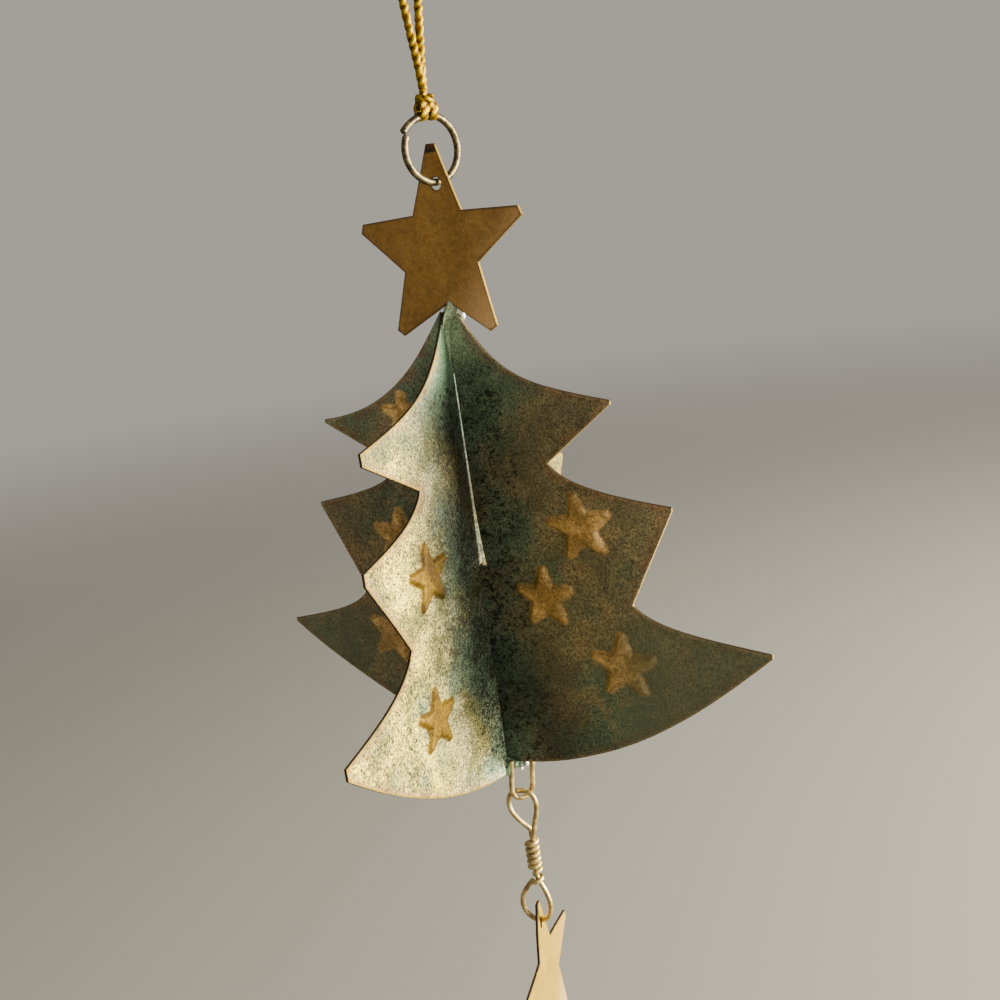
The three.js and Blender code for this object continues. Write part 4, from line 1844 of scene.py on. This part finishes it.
@dataclass
class Studio:
    """The floor, the lights and the camera."""

    floor_z: float = -262.0
    floor_radius: float = 6000
    # How far from the middle the floor starts and ends to turn into the surroundings
    floor_fade: Pair = (250, 1500)
    wall: Colour = srgb(168, 163, 154)
    ground: Colour = srgb(132, 130, 125)
    surroundings: float = 1.1
    # The camera's place, and its turn, its tilt under the level and its roll, in degrees
    eye: Point = (110.5, -181.8, -44.42)
    turn: float = 30.4
    tilt: float = 14.19
    roll: float = -7.92
    lens: float = 43.2
    sensor: float = 36
    near: float = 10
    aim: Point = (0, 0, -120)
    main: SoftLight = SoftLight(
        name="main", turn=22, height=6, distance=0.75, size=0.34, power=52, colour=(1.0, 0.95, 0.77)
    )
    fill: SoftLight = SoftLight(
        name="fill", turn=-30, height=10, distance=0.9, size=0.4, power=3.5, colour=(1.0, 0.96, 0.9)
    )

    def camera(self) -> None:
        """Sets the camera where the object was seen from."""
        data = bpy.data.cameras.new("view")
        data.lens = self.lens
        data.sensor_width = self.sensor
        data.clip_start = self.near * METRE
        camera = placed("view", data)
        camera.matrix_world = (
            Matrix.Translation(Vector(self.eye) * METRE)
            @ Matrix.Rotation(math.radians(self.turn), 4, "Z")
            @ Matrix.Rotation(math.radians(90 - self.tilt), 4, "X")
            @ Matrix.Rotation(math.radians(self.roll), 4, "Z")
        )
        bpy.context.scene.camera = camera

    def floor(self) -> None:
        """Lays a plain pale floor well under the ornament."""
        nodes = Nodes("pale_floor")
        out = (nodes.along(0) ** 2.0 + nodes.along(1) ** 2.0) ** 0.5
        far = out.eased(*self.floor_fade)
        black = (0.0, 0.0, 0.0)
        nodes.surface(
            base_color=nodes.mixed(far, self.ground, black),
            roughness=0.9,
            specular_ior_level=0.0,
            emission_color=nodes.mixed(far, black, self.wall),
            emission_strength=self.surroundings,
        )
        mesh = bpy.data.meshes.new("floor")
        work = bmesh.new()
        bmesh.ops.create_circle(work, cap_ends=True, segments=96, radius=self.floor_radius * METRE)
        work.to_mesh(mesh)
        work.free()
        mesh.materials.append(nodes.material)
        floor = placed("floor", mesh)
        floor.location.z = self.floor_z * METRE

    def lights(self) -> None:
        """Sets the window-like main light, a weak fill and the even surroundings."""
        world = bpy.data.worlds.new("surroundings")
        world.use_nodes = True
        background = world.node_tree.nodes["Background"]
        background.inputs["Color"].default_value = (*self.wall, 1.0)
        background.inputs["Strength"].default_value = self.surroundings
        bpy.context.scene.world = world
        for light in (self.main, self.fill):
            light.hang(Vector(self.aim) * METRE)


def tree_plates() -> list[TreePlate]:
    """Cuts out the two plates that make the tree.

    Returns:
        The side plate and the front plate.
    """
    seat = 0.575
    side = TreePlate(
        standing=Standing.SIDE,
        positive=Vane(
            apex=(0.5, 0),
            sweep=WIDE,
            tips=((28.4, 17.9), (37.5, 36.6), (52.8, 62.2)),
            notches=((15.2, 28.7), (28.4, 54.5)),
            tip_width=0.7,
            foot_sweep=((39, 74.6), (22, 87.2)),
        ),
        negative=Vane(
            apex=(2.4, 1),
            sweep=STEEP,
            tips=((31.6, 19.4), (36.2, 36), (47.6, 61)),
            notches=((16.5, 28.6), (28.1, 53.6)),
            tip_width=0.7,
            foot_sweep=((35, 72.4), (19, 81.5)),
        ),
        foot=88,
        stars=(
            (20.1, 40.4, -8, 1.02),
            (11.4, 53.9, 0, 0.95),
            (25.6, 66.3, 0, 1.03),
            (-13.3, 19, 2, 0.7),
            (-18.5, 43, 6, 0.96),
            (-23.2, 63, 15, 0.96),
        ),
        slot=(
            (CROSSING_SHIFT - seat, -0.76),
            (CROSSING_SHIFT - seat, -48.15),
            (CROSSING_SHIFT + seat + 1.0, -48.15),
            (CROSSING_SHIFT + seat + 0.5, -42),
            (CROSSING_SHIFT + seat + 0.28, -37),
            (CROSSING_SHIFT + seat + 0.02, -12),
            (CROSSING_SHIFT + seat, -0.39),
        ),
        seed=21,
    )
    front = TreePlate(
        standing=Standing.FRONT,
        positive=Vane(
            apex=(0.5, 0.9),
            sweep=WIDE,
            tips=((29.7, 19.3), (38.5, 36.2), (50.6, 62.6)),
            notches=((16.9, 28.9), (28.1, 54.3)),
            tip_width=1,
            foot_sweep=((37, 76.5), (20, 88.8)),
        ),
        negative=Vane(
            apex=(0.5, 0.9),
            sweep=WIDE,
            tips=((31.2, 18.9), (35.6, 37.6), (48.2, 65.4)),
            notches=((16.4, 29.2), (25.9, 54.7)),
            tip_width=2.2,
            foot_sweep=((33, 80), (17, 88.8)),
        ),
        foot=90.4,
        stars=(
            (-17.7, 44.3, -2, 1),
            (-21.8, 69.3, 5, 0.94),
            (19, 42, 5, 1),
            (22.5, 66, -3, 0.97),
        ),
        slot=((seat, -90.3), (seat, -47.85), (-seat, -47.85), (-seat, -90.3)),
        seed=33,
        crease=(-26.2, -55, -22.5, -56.5),
    )
    return [side, front]


RING_WIRE = WornWire(
    bright=srgb(112, 98, 68), dull=srgb(62, 54, 38), dark=srgb(20, 17, 12), tarnish=0.9
)
BRASS_WIRE = WornWire(
    bright=srgb(204, 182, 122), dull=srgb(150, 126, 76), dark=srgb(62, 48, 26), tarnish=0.5
)
PENDANT_BRASS = LacqueredBrass(
    body=srgb(200, 165, 44),
    deep=srgb(172, 140, 34),
    rose=srgb(176, 130, 40),
    pale=srgb(196, 164, 60),
    lacquer=0.15,
)
FRONT_PATINA = Patina(
    bronze=srgb(104, 99, 50),
    verdigris=srgb(94, 110, 88),
    fleck=srgb(222, 208, 78),
    frost=srgb(192, 206, 184),
    tarnish=srgb(22, 21, 11),
    rust=srgb(138, 106, 66),
    solder=srgb(84, 110, 84),
    gold=srgb(82, 59, 8),
    pale_gold=srgb(124, 98, 16),
    gilt=0.9,
    speckle=1.0,
    wear=0.8,
    slate=0.0,
    scatter=30,
    spots=0.05,
    specks=(0.43, 0.48),
    browning=0.5,
    calm_to=26,
    foot_shift=9,
    foot_light=0.7,
    left_light=0.0,
    tip_light=0.0,
    top_light=0.0,
    lip_light=2.2,
    between_vanes_shade=0.5,
)


def main() -> None:
    """Builds the scene in order: camera, cord, ring, stars, plates, solder, wires, floor and lights."""
    logging.basicConfig(level=logging.INFO, format="%(name)s: %(message)s")
    studio = Studio()
    studio.camera()
    HangingCord().build(GoldBraid().material("gold_braid"))
    JumpRing().build(RING_WIRE.material("ring_wire"))
    FlatStar(
        place=StarPlace.TOP,
        trims=((1.0, 2, 0.3), (-0.3, -1, -0.9), (-1.3, 5, 0.6), (0, 3.5, 0.6), (-0.3, 1.5, 0.4)),
        middle_x=TREE_X,
        middle_z=-52.95,
        turn=0,
        hole_height=11.65,
        hole_offset=0.7,
        body="tree",
        node="top_star",
        seed=11,
    ).build(LacqueredBrass().material("top_star_brass"))
    FlatStar(
        place=StarPlace.PENDANT,
        trims=((0, 0, 0), (0, 6, 0), (-0.3, 1, 0.2), (0, -1, 0), (0.2, -2, 0.2)),
        middle_x=LOOP_X,
        middle_z=-198.875,
        turn=103,
        hole_height=12.9,
        hole_offset=0,
        body="pendant",
        node="pendant_star",
        seed=17,
    ).build(PENDANT_BRASS.material("pendant_brass"))
    for plate, patina in zip(tree_plates(), (Patina(), FRONT_PATINA)):
        plate.build(patina.material(f"{plate.standing.value}_patina"))
    joints = SolderJoints()
    joints.apex(Patina().material("apex_patina"))
    joints.bead(Solder(patina=0.2).material("bead_solder"))
    joints.foot(Solder(patina=0.72).material("foot_solder"))
    joints.drops(Solder(patina=0.2).material("drop_solder"))
    FootLoop().build(BRASS_WIRE.material("foot_loop_wire"))
    TwistedLink().build(BRASS_WIRE.material("link_wire"))
    studio.floor()
    studio.lights()
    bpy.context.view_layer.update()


if __name__ == "__main__":
    main()
